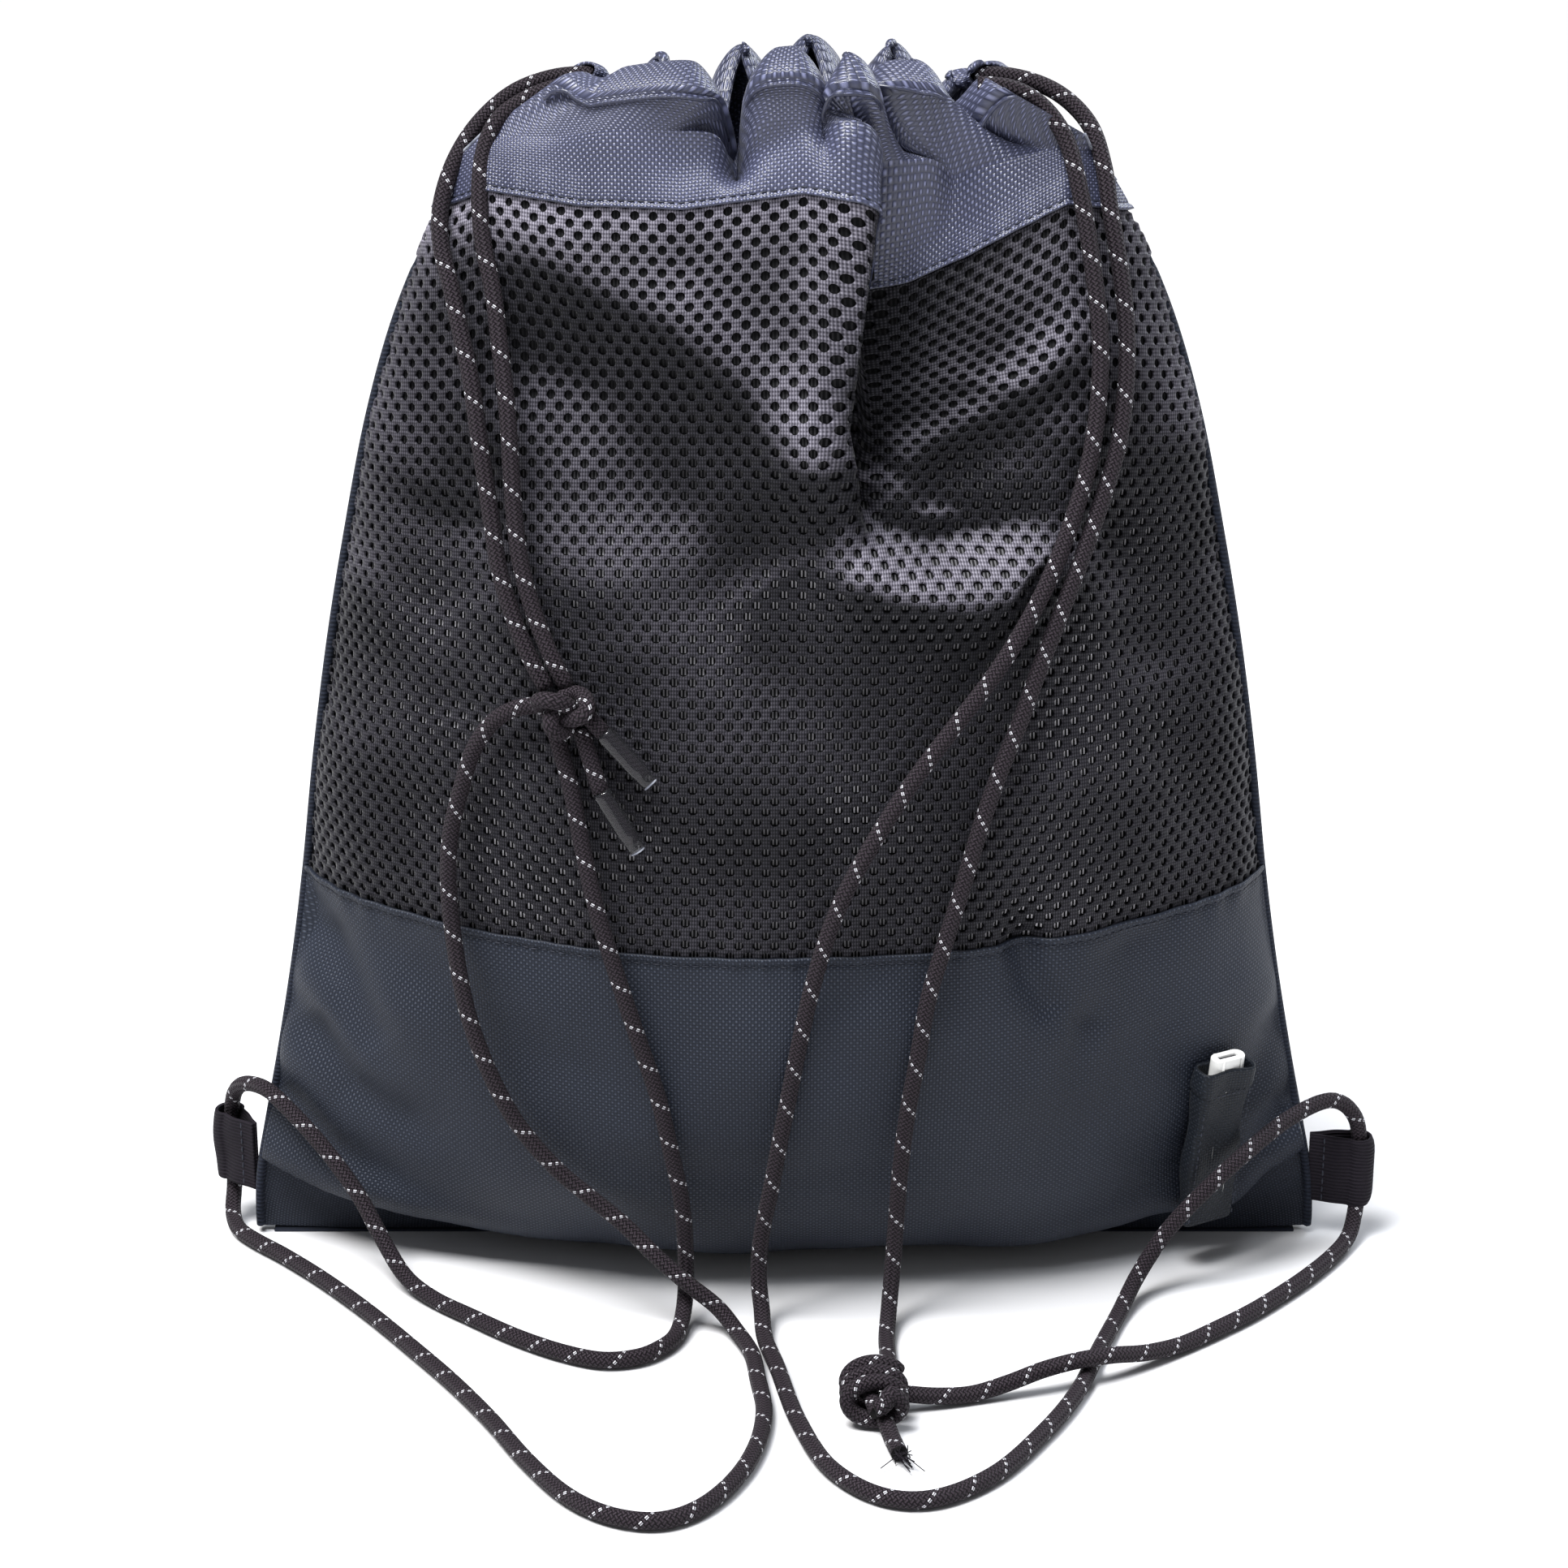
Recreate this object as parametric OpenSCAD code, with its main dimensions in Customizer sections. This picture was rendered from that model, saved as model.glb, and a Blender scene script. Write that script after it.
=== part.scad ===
// Drawstring backpack standing upright, filled, with its mouth drawn nearly shut.
// Front faces -Y, the straight bottom seam lies along X under the middle, and the floor is z = 0.

/* [Bag] */
// Width along the straight bottom seam
bag_w = 350; // [340:5:360]
// Height of the rim when the mouth is gathered
bag_h = 390; // [380:5:400]
// Depth of the filled bag from the side seams to the front or to the back
bulge = 62; // [58:1:66]
// Thickness of the cloth with its seam allowances
cloth_t = 2; // [1.6:0.1:2.4]

/* [Drawcord] */
// Diameter of the braided cord
cord_d = 5.2; // [4.6:0.1:5.4]
// Height of the flattened channel that the cords run in
channel_h = 15; // [14:0.5:16]
// Thickness of the channel over the cords
channel_t = 8.4; // [8.2:0.1:9]

/* [Tabs] */
// Width of the tape that the corner tabs are folded from
tape_w = 24; // [20:1:25]
// Thickness of that tape
tape_t = 1.1; // [0.9:0.1:1.4]
// Length of the folded tab beyond the side seam
tab_l = 21; // [20:0.5:23]

/* [Pocket] */
// Width of the slim pocket at the lower right
pocket_w = 20; // [19:0.5:22]
// Height of the pocket
pocket_h = 58; // [50:1:60]
// Depth of the pocket, walls included
pocket_d = 8.6; // [8:0.1:9]

/* [Hidden] */

front = -1;
back = 1;
scale_x = bag_w / 350;
scale_y = bulge / 62;
scale_z = bag_h / 390;
seam_gap = 0.2;
floor_zone = 20;
run_lift = 2.75;
cord_r = cord_d / 2;
cord_sides = 10;

// Stations up the bag: half width, height at the side seam, depth, height at the middle.
profile = [
    [174, 2, 0, 0], [174, 9, 14, 0.8], [173, 22, 37, 13], [169, 42, 51, 33], [164, 66, 59, 57],
    [158, 98, 62, 90], [153, 130, 62, 123], [148, 168, 60, 165], [142, 206, 56, 207],
    [135, 242, 51, 248], [127, 278, 44, 288], [117, 310, 37, 322], [104, 338, 30, 350],
    [90, 360, 22, 371], [76, 374, 14, 385]
];
base_seam = 6;
top_seam = 12;
rim = 13.75;
hinge_gap = 0.15;
collar_top = 13.28;
collar_u = 0.7;

// Centre lines of the cords, from the channel ends and knots outwards.
left_front_route = [
    [-57, -10, 381], [-67, -9, 380], [-77, -8, 376], [-85, -9, 370], [-89, -12, 361],
    [-90, -18, 350], [-89, -23, 337], [-86, -28, 323], [-84, -33, 307], [-82, -38, 290],
    [-81, -42, 273], [-80, -45, 257], [-78, -48, 243], [-74, -51, 229], [-69, -54, 217],
    [-65, -55, 209]
];
left_back_route = [
    [-57, 10, 381], [-69, 10, 380], [-81, 7, 376], [-91, 2, 368], [-98, -5, 358],
    [-102, -12, 346], [-102, -17, 335], [-99, -23, 324], [-96, -28, 311], [-93, -33, 298],
    [-91, -37, 284], [-89, -40, 270], [-87, -43, 256], [-85, -46, 243], [-81, -49, 229],
    [-76, -52, 217], [-71, -54, 208]
];
left_out_route = [
    [-73, -54, 203], [-81, -52, 201], [-88, -50, 196], [-94, -49, 187], [-98, -49, 175],
    [-102, -49, 159], [-103, -50, 143], [-102, -51, 128], [-100, -53, 113], [-97, -55, 99],
    [-91, -57, 82], [-83, -58, 66], [-72, -59, 52], [-61, -60, 42], [-50, -62, 33],
    [-40, -66, 24], [-30, -69, 16], [-21, -71, 9], [-15, -77, 4], [-10, -90, 3],
    [-8, -106, 3], [-6, -125, 3], [-8, -145, 3], [-14, -164, 3], [-24, -180, 3],
    [-36, -187, 3], [-50, -184, 3], [-63, -173, 3], [-76, -153, 3], [-88, -130, 3],
    [-101, -108, 3], [-115, -87, 3], [-131, -64, 3], [-148, -42, 3], [-163, -25, 3],
    [-174, -14, 3], [-181, -5, 3], [-184, 4, 5], [-184, 10, 12], [-184, 13, 24]
];
left_return_route = [
    [-184, 13, 24], [-184, 13, 37], [-182, 10, 46], [-177, 3, 52], [-169, -6, 54],
    [-161, -13, 50], [-153, -19, 44], [-145, -24, 36], [-137, -29, 26], [-130, -35, 15],
    [-122, -44, 6], [-112, -54, 3], [-99, -66, 3], [-84, -79, 3], [-69, -89, 3],
    [-56, -94, 3], [-45, -92, 3], [-38, -86, 3], [-34, -79, 3], [-32, -71, 5],
    [-31, -64, 12], [-31, -62, 24], [-32, -64, 42], [-35, -66, 60], [-39, -67, 80],
    [-45, -67, 100], [-51, -66, 120], [-57, -64, 141], [-61, -61, 160], [-64, -59, 177],
    [-67, -57, 189], [-69, -56, 196]
];
right_front_route = [
    [57, -10, 381], [67, -10, 380], [76, -10, 375], [83, -13, 366], [87, -18, 353],
    [91, -24, 332], [94, -30, 306], [92, -36, 279], [86, -42, 257], [77, -49, 236],
    [65, -55, 216], [51, -60, 198], [38, -64, 181], [26, -67, 162], [16, -69, 142],
    [8, -70, 115], [0, -68, 72], [-4, -66, 48], [-7, -64, 31], [-8, -64, 17],
    [-7, -69, 7], [-6, -80, 3], [-2, -99, 3], [4, -130, 3], [13, -157, 3],
    [27, -173, 3], [43, -175, 3], [61, -162, 3], [77, -138, 3], [89, -114, 3],
    [98, -87, 3], [106, -64, 3], [113, -50, 9], [122, -44, 21], [133, -41, 33],
    [148, -33, 44], [164, -19, 50], [179, -8, 51], [188, -4, 42], [190, -3, 24]
];
right_return_route = [
    [190, -3, 24], [190, -3, 18], [189, -6, 10], [186, -13, 4], [179, -25, 3], [169, -39, 3],
    [159, -51, 3], [148, -63, 3], [136, -74, 3], [124, -84, 3], [112, -93, 5], [101, -100, 8],
    [90, -105, 9], [79, -109, 8], [68, -112, 5], [57, -115, 3], [46, -118, 4], [36, -120, 6]
];
right_back_route = [
    [57, 10, 381], [70, 10, 380], [82, 6, 376], [91, -1, 368], [95, -9, 357],
    [97, -15, 344], [100, -19, 328], [102, -23, 312], [102, -28, 296], [100, -33, 279],
    [96, -37, 265], [91, -42, 251], [86, -46, 238], [81, -49, 225], [76, -52, 212],
    [71, -55, 198], [65, -58, 183], [59, -61, 165], [54, -63, 147], [49, -65, 130],
    [44, -67, 112], [41, -67, 92], [38, -66, 72], [36, -64, 50], [35, -63, 31],
    [34, -64, 17], [33, -69, 7], [32, -80, 3], [32, -95, 3], [30, -108, 5]
];
left_upper_tail_route = [[-60, -57, 202], [-57, -59, 199], [-54, -60, 196]];
left_lower_tail_route = [[-61, -58, 197], [-58, -60, 187], [-55, -62, 178]];
left_upper_aglet_end = [-40, -64, 181];
left_lower_aglet_end = [-44, -65, 160];
right_tail_route = [[30, -133, 5], [32, -141, 3], [34, -150, 3]];
left_knot_at = [-66, -60, 203];
right_knot_at = [27, -122, 8];

function clamp(x, low, high) = min(max(x, low), high);
function unit(a) = a / max(norm(a), 0.000001);

// Smooth curve through the rows of a list, at t counted in rows.
function along(list, t) =
    let (
        last = len(list) - 1,
        i = clamp(floor(t), 0, last - 1),
        f = t - i,
        a = list[max(i - 1, 0)],
        b = list[i],
        c = list[i + 1],
        d = list[min(i + 2, last)]
    )
    0.5 * (2 * b + (c - a) * f + (2 * a - 5 * b + 4 * c - d) * f * f + (3 * b - 3 * c + d - a) * f * f * f);

// A point of the filled bag: u runs from side seam to side seam, v up the stations.
// The section is round above the base band and pinches to flat ears at the bottom corners.
function cloth_point(u, v, side) =
    let (
        at = along(profile, v),
        inward = max(1 - u * u, 0),
        fullness = inward ^ (0.62 + 0.75 * clamp(1 - v / 5, 0, 1))
    )
    [
        scale_x * u * at[0],
        side * (cloth_t + seam_gap + scale_y * at[2] * fullness),
        scale_z * (at[1] + (at[3] - at[1]) * inward)
    ];

function outward(u, v, side) =
    let (
        step = 0.01,
        across = cloth_point(min(u + step, 1), v, side) - cloth_point(max(u - step, -1), v, side),
        up = cloth_point(u, v + step, side) - cloth_point(u, v - step, side)
    )
    -side * unit(cross(across, up));

// The same point moved along the outward normal, kept on its own side of the seam plane.
function skin(u, v, side, off) =
    let (p = cloth_point(u, v, side) + off * outward(u, v, side))
    [p[0], side * max(side * p[1], seam_gap), p[2]];

function flat_list(lists) = [for (list = lists) each list];
function halves(a, b, c, d) = [[a, b, c], [a, c, d]];
function turned(faces) = [for (face = faces) [for (i = [len(face) - 1 : -1 : 0]) face[i]]];

// Cloth panel between two stations: an outer grid, an inner grid and the four edges between them.
module panel(side, v_low, v_high, rows, columns, u_end = 1) {
    width = columns + 1;
    inner = (rows + 1) * width;
    function spot(i, j, off) =
        skin(u_end * sin(90 * (2 * j / columns - 1)), v_low + (v_high - v_low) * i / rows, side, off);
    points = [
        for (off = [0, -cloth_t], i = [0 : rows], j = [0 : columns]) spot(i, j, off)
    ];
    outer_faces = flat_list([
        for (i = [0 : rows - 1], j = [0 : columns - 1])
            let (a = i * width + j)
            halves(a, a + width, a + width + 1, a + 1)
    ]);
    inner_faces = [for (face = turned(outer_faces)) [for (k = face) k + inner]];
    rim_faces = flat_list([
        for (j = [0 : columns - 1])
            let (low = j, high = rows * width + j)
            concat(
                halves(low, low + 1, low + 1 + inner, low + inner),
                halves(high + 1, high, high + inner, high + 1 + inner)
            )
    ]);
    side_faces = flat_list([
        for (i = [0 : rows - 1])
            let (left = i * width, right = left + columns)
            concat(
                halves(left + width, left, left + inner, left + width + inner),
                halves(right, right + width, right + width + inner, right + inner)
            )
    ]);
    faces = concat(outer_faces, inner_faces, rim_faces, side_faces);
    polyhedron(points, side == front ? faces : turned(faces));
}

// Solid through a row of rings that turn right-handed about the way they run.
module loft(rings) {
    count = len(rings[0]);
    last = len(rings) - 1;
    walls = flat_list([
        for (i = [0 : last - 1], j = [0 : count - 1])
            let (k = (j + 1) % count, a = i * count, b = a + count)
            halves(a + j, b + j, b + k, a + k)
    ]);
    start_cap = [[for (j = [0 : count - 1]) j]];
    end_cap = [[for (j = [count - 1 : -1 : 0]) last * count + j]];
    polyhedron(flat_list(rings), concat(walls, start_cap, end_cap));
}

// Open-ended tube between an outer and an inner row of rings.
module sleeve(outer_rings, inner_rings) {
    count = len(outer_rings[0]);
    last = len(outer_rings) - 1;
    inner = count * (last + 1);
    walls = flat_list([
        for (i = [0 : last - 1], j = [0 : count - 1])
            let (k = (j + 1) % count, a = i * count, b = a + count)
            halves(a + j, b + j, b + k, a + k)
    ]);
    bore = [for (face = turned(walls)) [for (k = face) k + inner]];
    ends = flat_list([
        for (j = [0 : count - 1])
            let (k = (j + 1) % count, top = last * count)
            concat(
                halves(j, k, k + inner, j + inner),
                halves(top + k, top + j, top + j + inner, top + k + inner)
            )
    ]);
    polyhedron(concat(flat_list(outer_rings), flat_list(inner_rings)), concat(walls, bore, ends));
}

// Round cord along a route, with its rings carried along without twist.
function headings(path) =
    let (last = len(path) - 1)
    [for (i = [0 : last]) unit(path[min(i + 1, last)] - path[max(i - 1, 0)])];
function square_to(a, heading) = unit(a - heading * (a * heading));
function cord_rings(path, radius, sides) =
    let (
        heading = headings(path),
        start = abs(heading[0][0]) < 0.8 ? [1, 0, 0] : [0, 0, 1],
        normals = [
            for (
                i = 0, n = square_to(start, heading[0]);
                i < len(path);
                i = i + 1, n = square_to(n, heading[min(i, len(path) - 1)])
            ) n
        ]
    )
    [
        for (i = [0 : len(path) - 1])
            let (n = normals[i], b = cross(heading[i], n), step = 360 / sides)
            [for (j = [0 : sides - 1]) path[i] + radius * (n * cos(step * j) + b * sin(step * j))]
    ];

// A point that follows the bag's size, unless it lies on the floor.
function scaled_point(p) =
    [scale_x * p[0], scale_y * p[1], p[2] > floor_zone ? scale_z * p[2] : p[2]];
function scaled_route(route) = [for (p = route) scaled_point(p)];
function smooth_route(route, parts) =
    [for (k = [0 : (len(route) - 1) * parts]) along(scaled_route(route), k / parts)];

module cord(route, parts = 2) {
    color("#2a2528") loft(cord_rings(smooth_route(route, parts), cord_r, cord_sides));
}

// Flattened oval, as a closed row of points, for the channel's section.
function oval(thick, high) =
    let (r = thick / 2, straight = high / 2 - r)
    [
        for (k = [0 : 11])
            let (turn = 30 * k + 15)
            [r * cos(turn), r * sin(turn) + (sin(turn) > 0 ? straight : -straight)]
    ];

// Rings of a given section round the rim, running so that they turn right-handed.
function rim_rings(side, section, lift = 0) =
    [
        for (k = [0 : 20])
            let (
                u = -side * collar_u * (1 - k / 10),
                middle = skin(u, rim, side, -cloth_t / 2),
                out = outward(u, rim, side),
                up = unit(cloth_point(u, rim + 0.02, side) - cloth_point(u, rim - 0.02, side))
            )
            [for (p = section) middle + out * p[0] + up * (p[1] + lift)]
    ];

module channel(side) {
    wall = 1.2;
    color("#232a38")
    sleeve(
        rim_rings(side, oval(channel_t, channel_h)),
        rim_rings(side, oval(channel_t - 2 * wall, channel_h - 2 * wall))
    );
}

module channel_run(side, lift) {
    circle_points = [for (j = [0 : 7]) [cos(45 * j), sin(45 * j)] * cord_r];
    color("#2a2528") loft(rim_rings(side, circle_points, lift));
}

module front_base_band() {
    color("#2b3142") panel(front, 0, base_seam, 14, 28);
}

module front_mesh_panel() {
    color("#3a3a3e") panel(front, base_seam, top_seam, 14, 28);
}

module back_base_band() {
    color("#2b3142") panel(back, 0, base_seam, 14, 28);
}

module back_panel() {
    color("#2b3142") panel(back, base_seam, top_seam, 14, 28);
}

module top_band(side) {
    color("#2b3142") panel(side, top_seam + hinge_gap, collar_top, 4, 20, collar_u);
}

// Folded tape over the raw edges of one side seam, from the bottom corner to the mouth slit.
module side_binding(side) {
    binding_t = 1.6;
    half = cloth_t + seam_gap;
    rings = [
        for (k = [0 : 24])
            let (
                v = 0.1 + (top_seam - 0.1) * k / 24,
                p = cloth_point(side, v, front),
                rise = unit(cloth_point(side, v + 0.05, front) - cloth_point(side, v - 0.05, front)),
                out = [side * rise[2], 0, -side * rise[0]],
                edge = [p[0], 0, p[2]]
            )
            [
                edge + [0, -half, 0],
                edge + out * binding_t + [0, -half, 0],
                edge + out * binding_t + [0, half, 0],
                edge + [0, half, 0]
            ]
    ];
    color("#20242e") loft([for (ring = rings) side > 0 ? ring : [for (j = [3 : -1 : 0]) ring[j]]]);
}

module bottom_seam_tape() {
    tape_half = 1.9;
    tape_high = 1.1;
    tape_long = 0.97 * bag_w;
    color("#20242e") translate([-tape_long / 2, -tape_half, 0]) cube([tape_long, 2 * tape_half, tape_high]);
}

// Tape folded round the cord: two plies from the side seam that open into a round loop.
module tab(root, turn) {
    loop_r = 4;
    outer_r = loop_r + tape_t;
    reach = tab_l - outer_r;
    color("#26222a")
    translate(root) rotate([0, 0, turn])
    linear_extrude(tape_w) difference() {
        union() {
            translate([reach, 0]) circle(outer_r, $fn = 40);
            polygon([[0, -tape_t], [reach, -outer_r], [reach, outer_r], [0, tape_t]]);
        }
        translate([reach, 0]) circle(loop_r, $fn = 40);
        polygon([[2.2, 0], [reach, -loop_r], [reach, loop_r]]);
    }
}

// The pocket and what stands in it share one place: lower right, along the slope of the front.
module at_pocket() {
    translate([136, -24.8, 17]) rotate([8, 0, 30]) children();
}

module pen_pocket() {
    wall = 1;
    color("#252c3a") at_pocket() difference() {
        translate([-pocket_w / 2, -pocket_d / 2, 0]) cube([pocket_w, pocket_d, pocket_h]);
        translate([-pocket_w / 2 + wall, -pocket_d / 2 + wall, wall])
            cube([pocket_w - 2 * wall, pocket_d - 2 * wall, pocket_h]);
    }
}

// Slim moulded stick with a slot through its top end.
module pocket_stick() {
    stick_w = 12.2;
    stick_t = 5.6;
    stick_l = 60;
    slot_w = 7.4;
    slot_t = 1.6;
    slot_deep = 6;
    corner_r = stick_t / 2 - 0.01;
    color("#f2f2f0") at_pocket() translate([1, 0, 1.4]) difference() {
        linear_extrude(stick_l) union() {
            square([stick_w - stick_t, stick_t], center = true);
            for (x = [-1, 1]) translate([x * (stick_w - stick_t) / 2, 0]) circle(corner_r, $fn = 32);
        }
        translate([-slot_w / 2, -slot_t / 2, stick_l - slot_deep]) cube([slot_w, slot_t, slot_deep + 1]);
    }
}

// Pulled-tight knot as the closed shape round its turns.
module knot(place, size) {
    color("#242024") translate(scaled_point(place)) scale(size) sphere(1, $fn = 20);
}

// Clear tip crimped on a cord's end, tapering a little to its far end.
module aglet(start, finish) {
    from = scaled_point(start);
    to = scaled_point(finish);
    reach = to - from;
    long = norm(reach);
    body_r = 3.1;
    neck_r = 2.7;
    end_r = 2;
    chamfer = 0.6;
    color("#d8dde2", 0.6)
    translate(from) rotate([0, acos(reach[2] / long), atan2(reach[1], reach[0])])
    rotate_extrude($fn = 32)
        polygon([
            [0, 0], [body_r, 0], [body_r, 0.7 * long], [neck_r, 0.8 * long],
            [neck_r - 0.1, long - chamfer], [end_r, long], [0, long]
        ]);
}

module left_tab() {
    tab([-175, 0.3, 15], 130);
}

module right_tab() {
    tab([174, -1, 12], -6);
}

front_base_band();
front_mesh_panel();
back_base_band();
back_panel();
side_binding(-1);  // left_side_binding
side_binding(1);  // right_side_binding
bottom_seam_tape();
top_band(front);  // front_top_band
channel(front);  // front_channel
top_band(back);  // back_top_band
channel(back);  // back_channel
channel_run(front, run_lift);  // front_run_left_cord
channel_run(front, -run_lift);  // front_run_right_cord
channel_run(back, run_lift);  // back_run_left_cord
channel_run(back, -run_lift);  // back_run_right_cord
left_tab();
right_tab();
pen_pocket();
pocket_stick();
cord(left_front_route);  // left_cord_front
cord(left_back_route);  // left_cord_back
cord(left_out_route);  // left_cord_out
cord(left_return_route);  // left_cord_return
knot(left_knot_at, [9.5, 6.5, 8]);  // left_knot
cord(left_upper_tail_route);  // left_tail_upper
cord(left_lower_tail_route);  // left_tail_lower
aglet(left_upper_tail_route[2], left_upper_aglet_end);  // left_aglet_upper
aglet(left_lower_tail_route[2], left_lower_aglet_end);  // left_aglet_lower
cord(right_front_route);  // right_cord_front
cord(right_return_route);  // right_cord_return
cord(right_back_route);  // right_cord_back
knot(right_knot_at, [11, 14, 7.9]);  // right_knot
cord(right_tail_route);  // right_tail
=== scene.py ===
import math

import bmesh
import bpy
import numpy as np
from mathutils import Matrix, Vector, kdtree, noise


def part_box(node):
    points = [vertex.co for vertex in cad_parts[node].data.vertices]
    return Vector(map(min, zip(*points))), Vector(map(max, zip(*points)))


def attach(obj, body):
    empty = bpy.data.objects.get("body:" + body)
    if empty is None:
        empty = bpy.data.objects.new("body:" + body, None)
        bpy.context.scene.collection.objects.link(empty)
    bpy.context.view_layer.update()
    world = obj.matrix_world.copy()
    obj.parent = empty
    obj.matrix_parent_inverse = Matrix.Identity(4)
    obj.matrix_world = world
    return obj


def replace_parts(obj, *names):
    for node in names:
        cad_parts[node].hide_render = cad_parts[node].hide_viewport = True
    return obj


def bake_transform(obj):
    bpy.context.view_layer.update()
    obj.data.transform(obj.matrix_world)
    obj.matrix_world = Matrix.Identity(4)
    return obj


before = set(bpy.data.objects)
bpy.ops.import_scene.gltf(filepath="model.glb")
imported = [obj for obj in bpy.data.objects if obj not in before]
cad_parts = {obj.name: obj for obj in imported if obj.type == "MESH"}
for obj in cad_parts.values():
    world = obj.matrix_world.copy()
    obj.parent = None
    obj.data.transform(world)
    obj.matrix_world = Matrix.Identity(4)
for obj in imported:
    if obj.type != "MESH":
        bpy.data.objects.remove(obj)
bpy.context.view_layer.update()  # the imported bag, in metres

cameraSettings = {
    "target": (0, 0, 0.158),
    "distance": 1.15,
    "elevation": 20,
    "lens": 82.9,
    "sensor": 36,
}


def makeCamera(s):
    tilt = math.radians(s["elevation"])
    back = Vector((0, -math.cos(tilt), math.sin(tilt)))
    data = bpy.data.cameras.new("camera")
    data.lens, data.sensor_width = s["lens"], s["sensor"]
    camera = bpy.data.objects.new("camera", data)
    bpy.context.collection.objects.link(camera)
    camera.location = Vector(s["target"]) + back * s["distance"]
    camera.rotation_euler = (-back).to_track_quat("-Z", "Y").to_euler()
    bpy.context.scene.camera = camera


makeCamera(cameraSettings)
print("camera ready")


def smooth(x):
    t = np.clip(x, 0, 1)
    return t * t * (3 - 2 * t)


def curveBetween(a, b, c, d, f):  # a smooth curve from b to c; f runs from 0 to 1
    return 0.5 * (2 * b + (c - a) * f + (2 * a - 5 * b + 4 * c - d) * f**2 + (3 * b - 3 * c + d - a) * f**3)


def curvePoints(route, parts):  # smooth curve through given points
    r = np.array(route, float)
    last = len(r) - 1
    t = np.linspace(0, last, last * parts + 1)
    i = np.minimum(np.floor(t).astype(int), last - 1)
    f = (t - i)[:, None]
    return curveBetween(r[np.maximum(i - 1, 0)], r[i], r[i + 1], r[np.minimum(i + 2, last)], f)


def evenPoints(points, step):  # the same line with its points an even step apart
    length = np.r_[0, np.cumsum(np.linalg.norm(np.diff(points, axis=0), axis=1))]
    count = max(int(round(length[-1] / step)), 2)
    at = np.linspace(0, length[-1], count + 1)
    return np.stack([np.interp(at, length, points[:, k]) for k in range(3)], 1)


def uvLayerOf(bm):
    return bm.loops.layers.uv.get("UVMap") or bm.loops.layers.uv.new("UVMap")


def linkMesh(name, bm, material=None, shaded=True):
    mesh = bpy.data.meshes.new(name)
    bm.to_mesh(mesh)
    bm.free()
    piece = bpy.data.objects.new(name, mesh)
    bpy.context.collection.objects.link(piece)
    if material:
        mesh.materials.append(material)
    if shaded:
        mesh.polygons.foreach_set("use_smooth", [True] * len(mesh.polygons))
    return piece


def roundEdges(bm, edges, width, segments):
    bmesh.ops.bevel(bm, geom=edges, offset=width, segments=segments, affect="EDGES", profile=0.5, material=-1)


def addBox(bm, place, size):
    bmesh.ops.create_cube(bm, size=1, matrix=place @ Matrix.Diagonal((*size, 1)))


def addStitch(bm, place, size):  # one stitch: a slim rounded grain of thread
    matrix = place @ Matrix.Diagonal((*size, 1))
    bmesh.ops.create_uvsphere(bm, u_segments=6, v_segments=5, radius=1, matrix=matrix)


def addModifier(piece, kind, **values):
    m = piece.modifiers.new(kind.lower(), kind)
    for key, value in values.items():
        setattr(m, key, value)
    return m


def newMaterial(name, color, roughness, **sockets):
    material = bpy.data.materials.new(name)
    material.use_nodes = True
    shader = material.node_tree.nodes["Principled BSDF"]
    shader.inputs["Base Color"].default_value = (*color, 1)
    shader.inputs["Roughness"].default_value = roughness
    for key, value in sockets.items():
        shader.inputs[key.replace("_", " ")].default_value = value
    return material, material.node_tree, shader


def calc(tree, operation, a, b=None, c=None):  # one math node; numbers or sockets go in
    node = tree.nodes.new("ShaderNodeMath")
    node.operation = operation
    for k, value in enumerate((a, b, c)):
        if value is None:
            continue
        if isinstance(value, (int, float)):
            node.inputs[k].default_value = value
        else:
            tree.links.new(value, node.inputs[k])
    return node.outputs[0]


def uvAxes(tree):
    uv = tree.nodes.new("ShaderNodeUVMap")
    uv.uv_map = "UVMap"
    split = tree.nodes.new("ShaderNodeSeparateXYZ")
    tree.links.new(uv.outputs["UV"], split.inputs[0])
    return split.outputs[0], split.outputs[1], uv.outputs["UV"]


def colorRamp(tree, value, stops):
    node = tree.nodes.new("ShaderNodeValToRGB")
    elements = node.color_ramp.elements
    while len(elements) < len(stops):
        elements.new(0.5)
    for element, (place, color) in zip(elements, stops):
        element.position = place
        element.color = (*color, 1)
    tree.links.new(value, node.inputs[0])
    return node.outputs[0]


def noiseAt(tree, vector, scale, detail=3.0, roughness=0.55):
    node = tree.nodes.new("ShaderNodeTexNoise")
    node.inputs["Scale"].default_value = scale
    node.inputs["Detail"].default_value = detail
    node.inputs["Roughness"].default_value = roughness
    tree.links.new(vector, node.inputs["Vector"])
    return node.outputs[0]


def objectCoords(tree):
    return tree.nodes.new("ShaderNodeTexCoord").outputs["Object"]


def addBump(tree, shader, height, distance, strength=1.0):
    node = tree.nodes.new("ShaderNodeBump")
    node.inputs["Strength"].default_value = strength
    node.inputs["Distance"].default_value = distance
    tree.links.new(height, node.inputs["Height"])
    tree.links.new(node.outputs[0], shader.inputs["Normal"])


def mixColors(tree, factor, a, b):
    node = tree.nodes.new("ShaderNodeMix")
    node.data_type = "RGBA"
    for socket, value in ((node.inputs[0], factor), (node.inputs[6], a), (node.inputs[7], b)):
        if isinstance(value, tuple):
            socket.default_value = (*value, 1)
        elif isinstance(value, (int, float)):
            socket.default_value = value
        else:
            tree.links.new(value, socket)
    return node.outputs[2]


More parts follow.
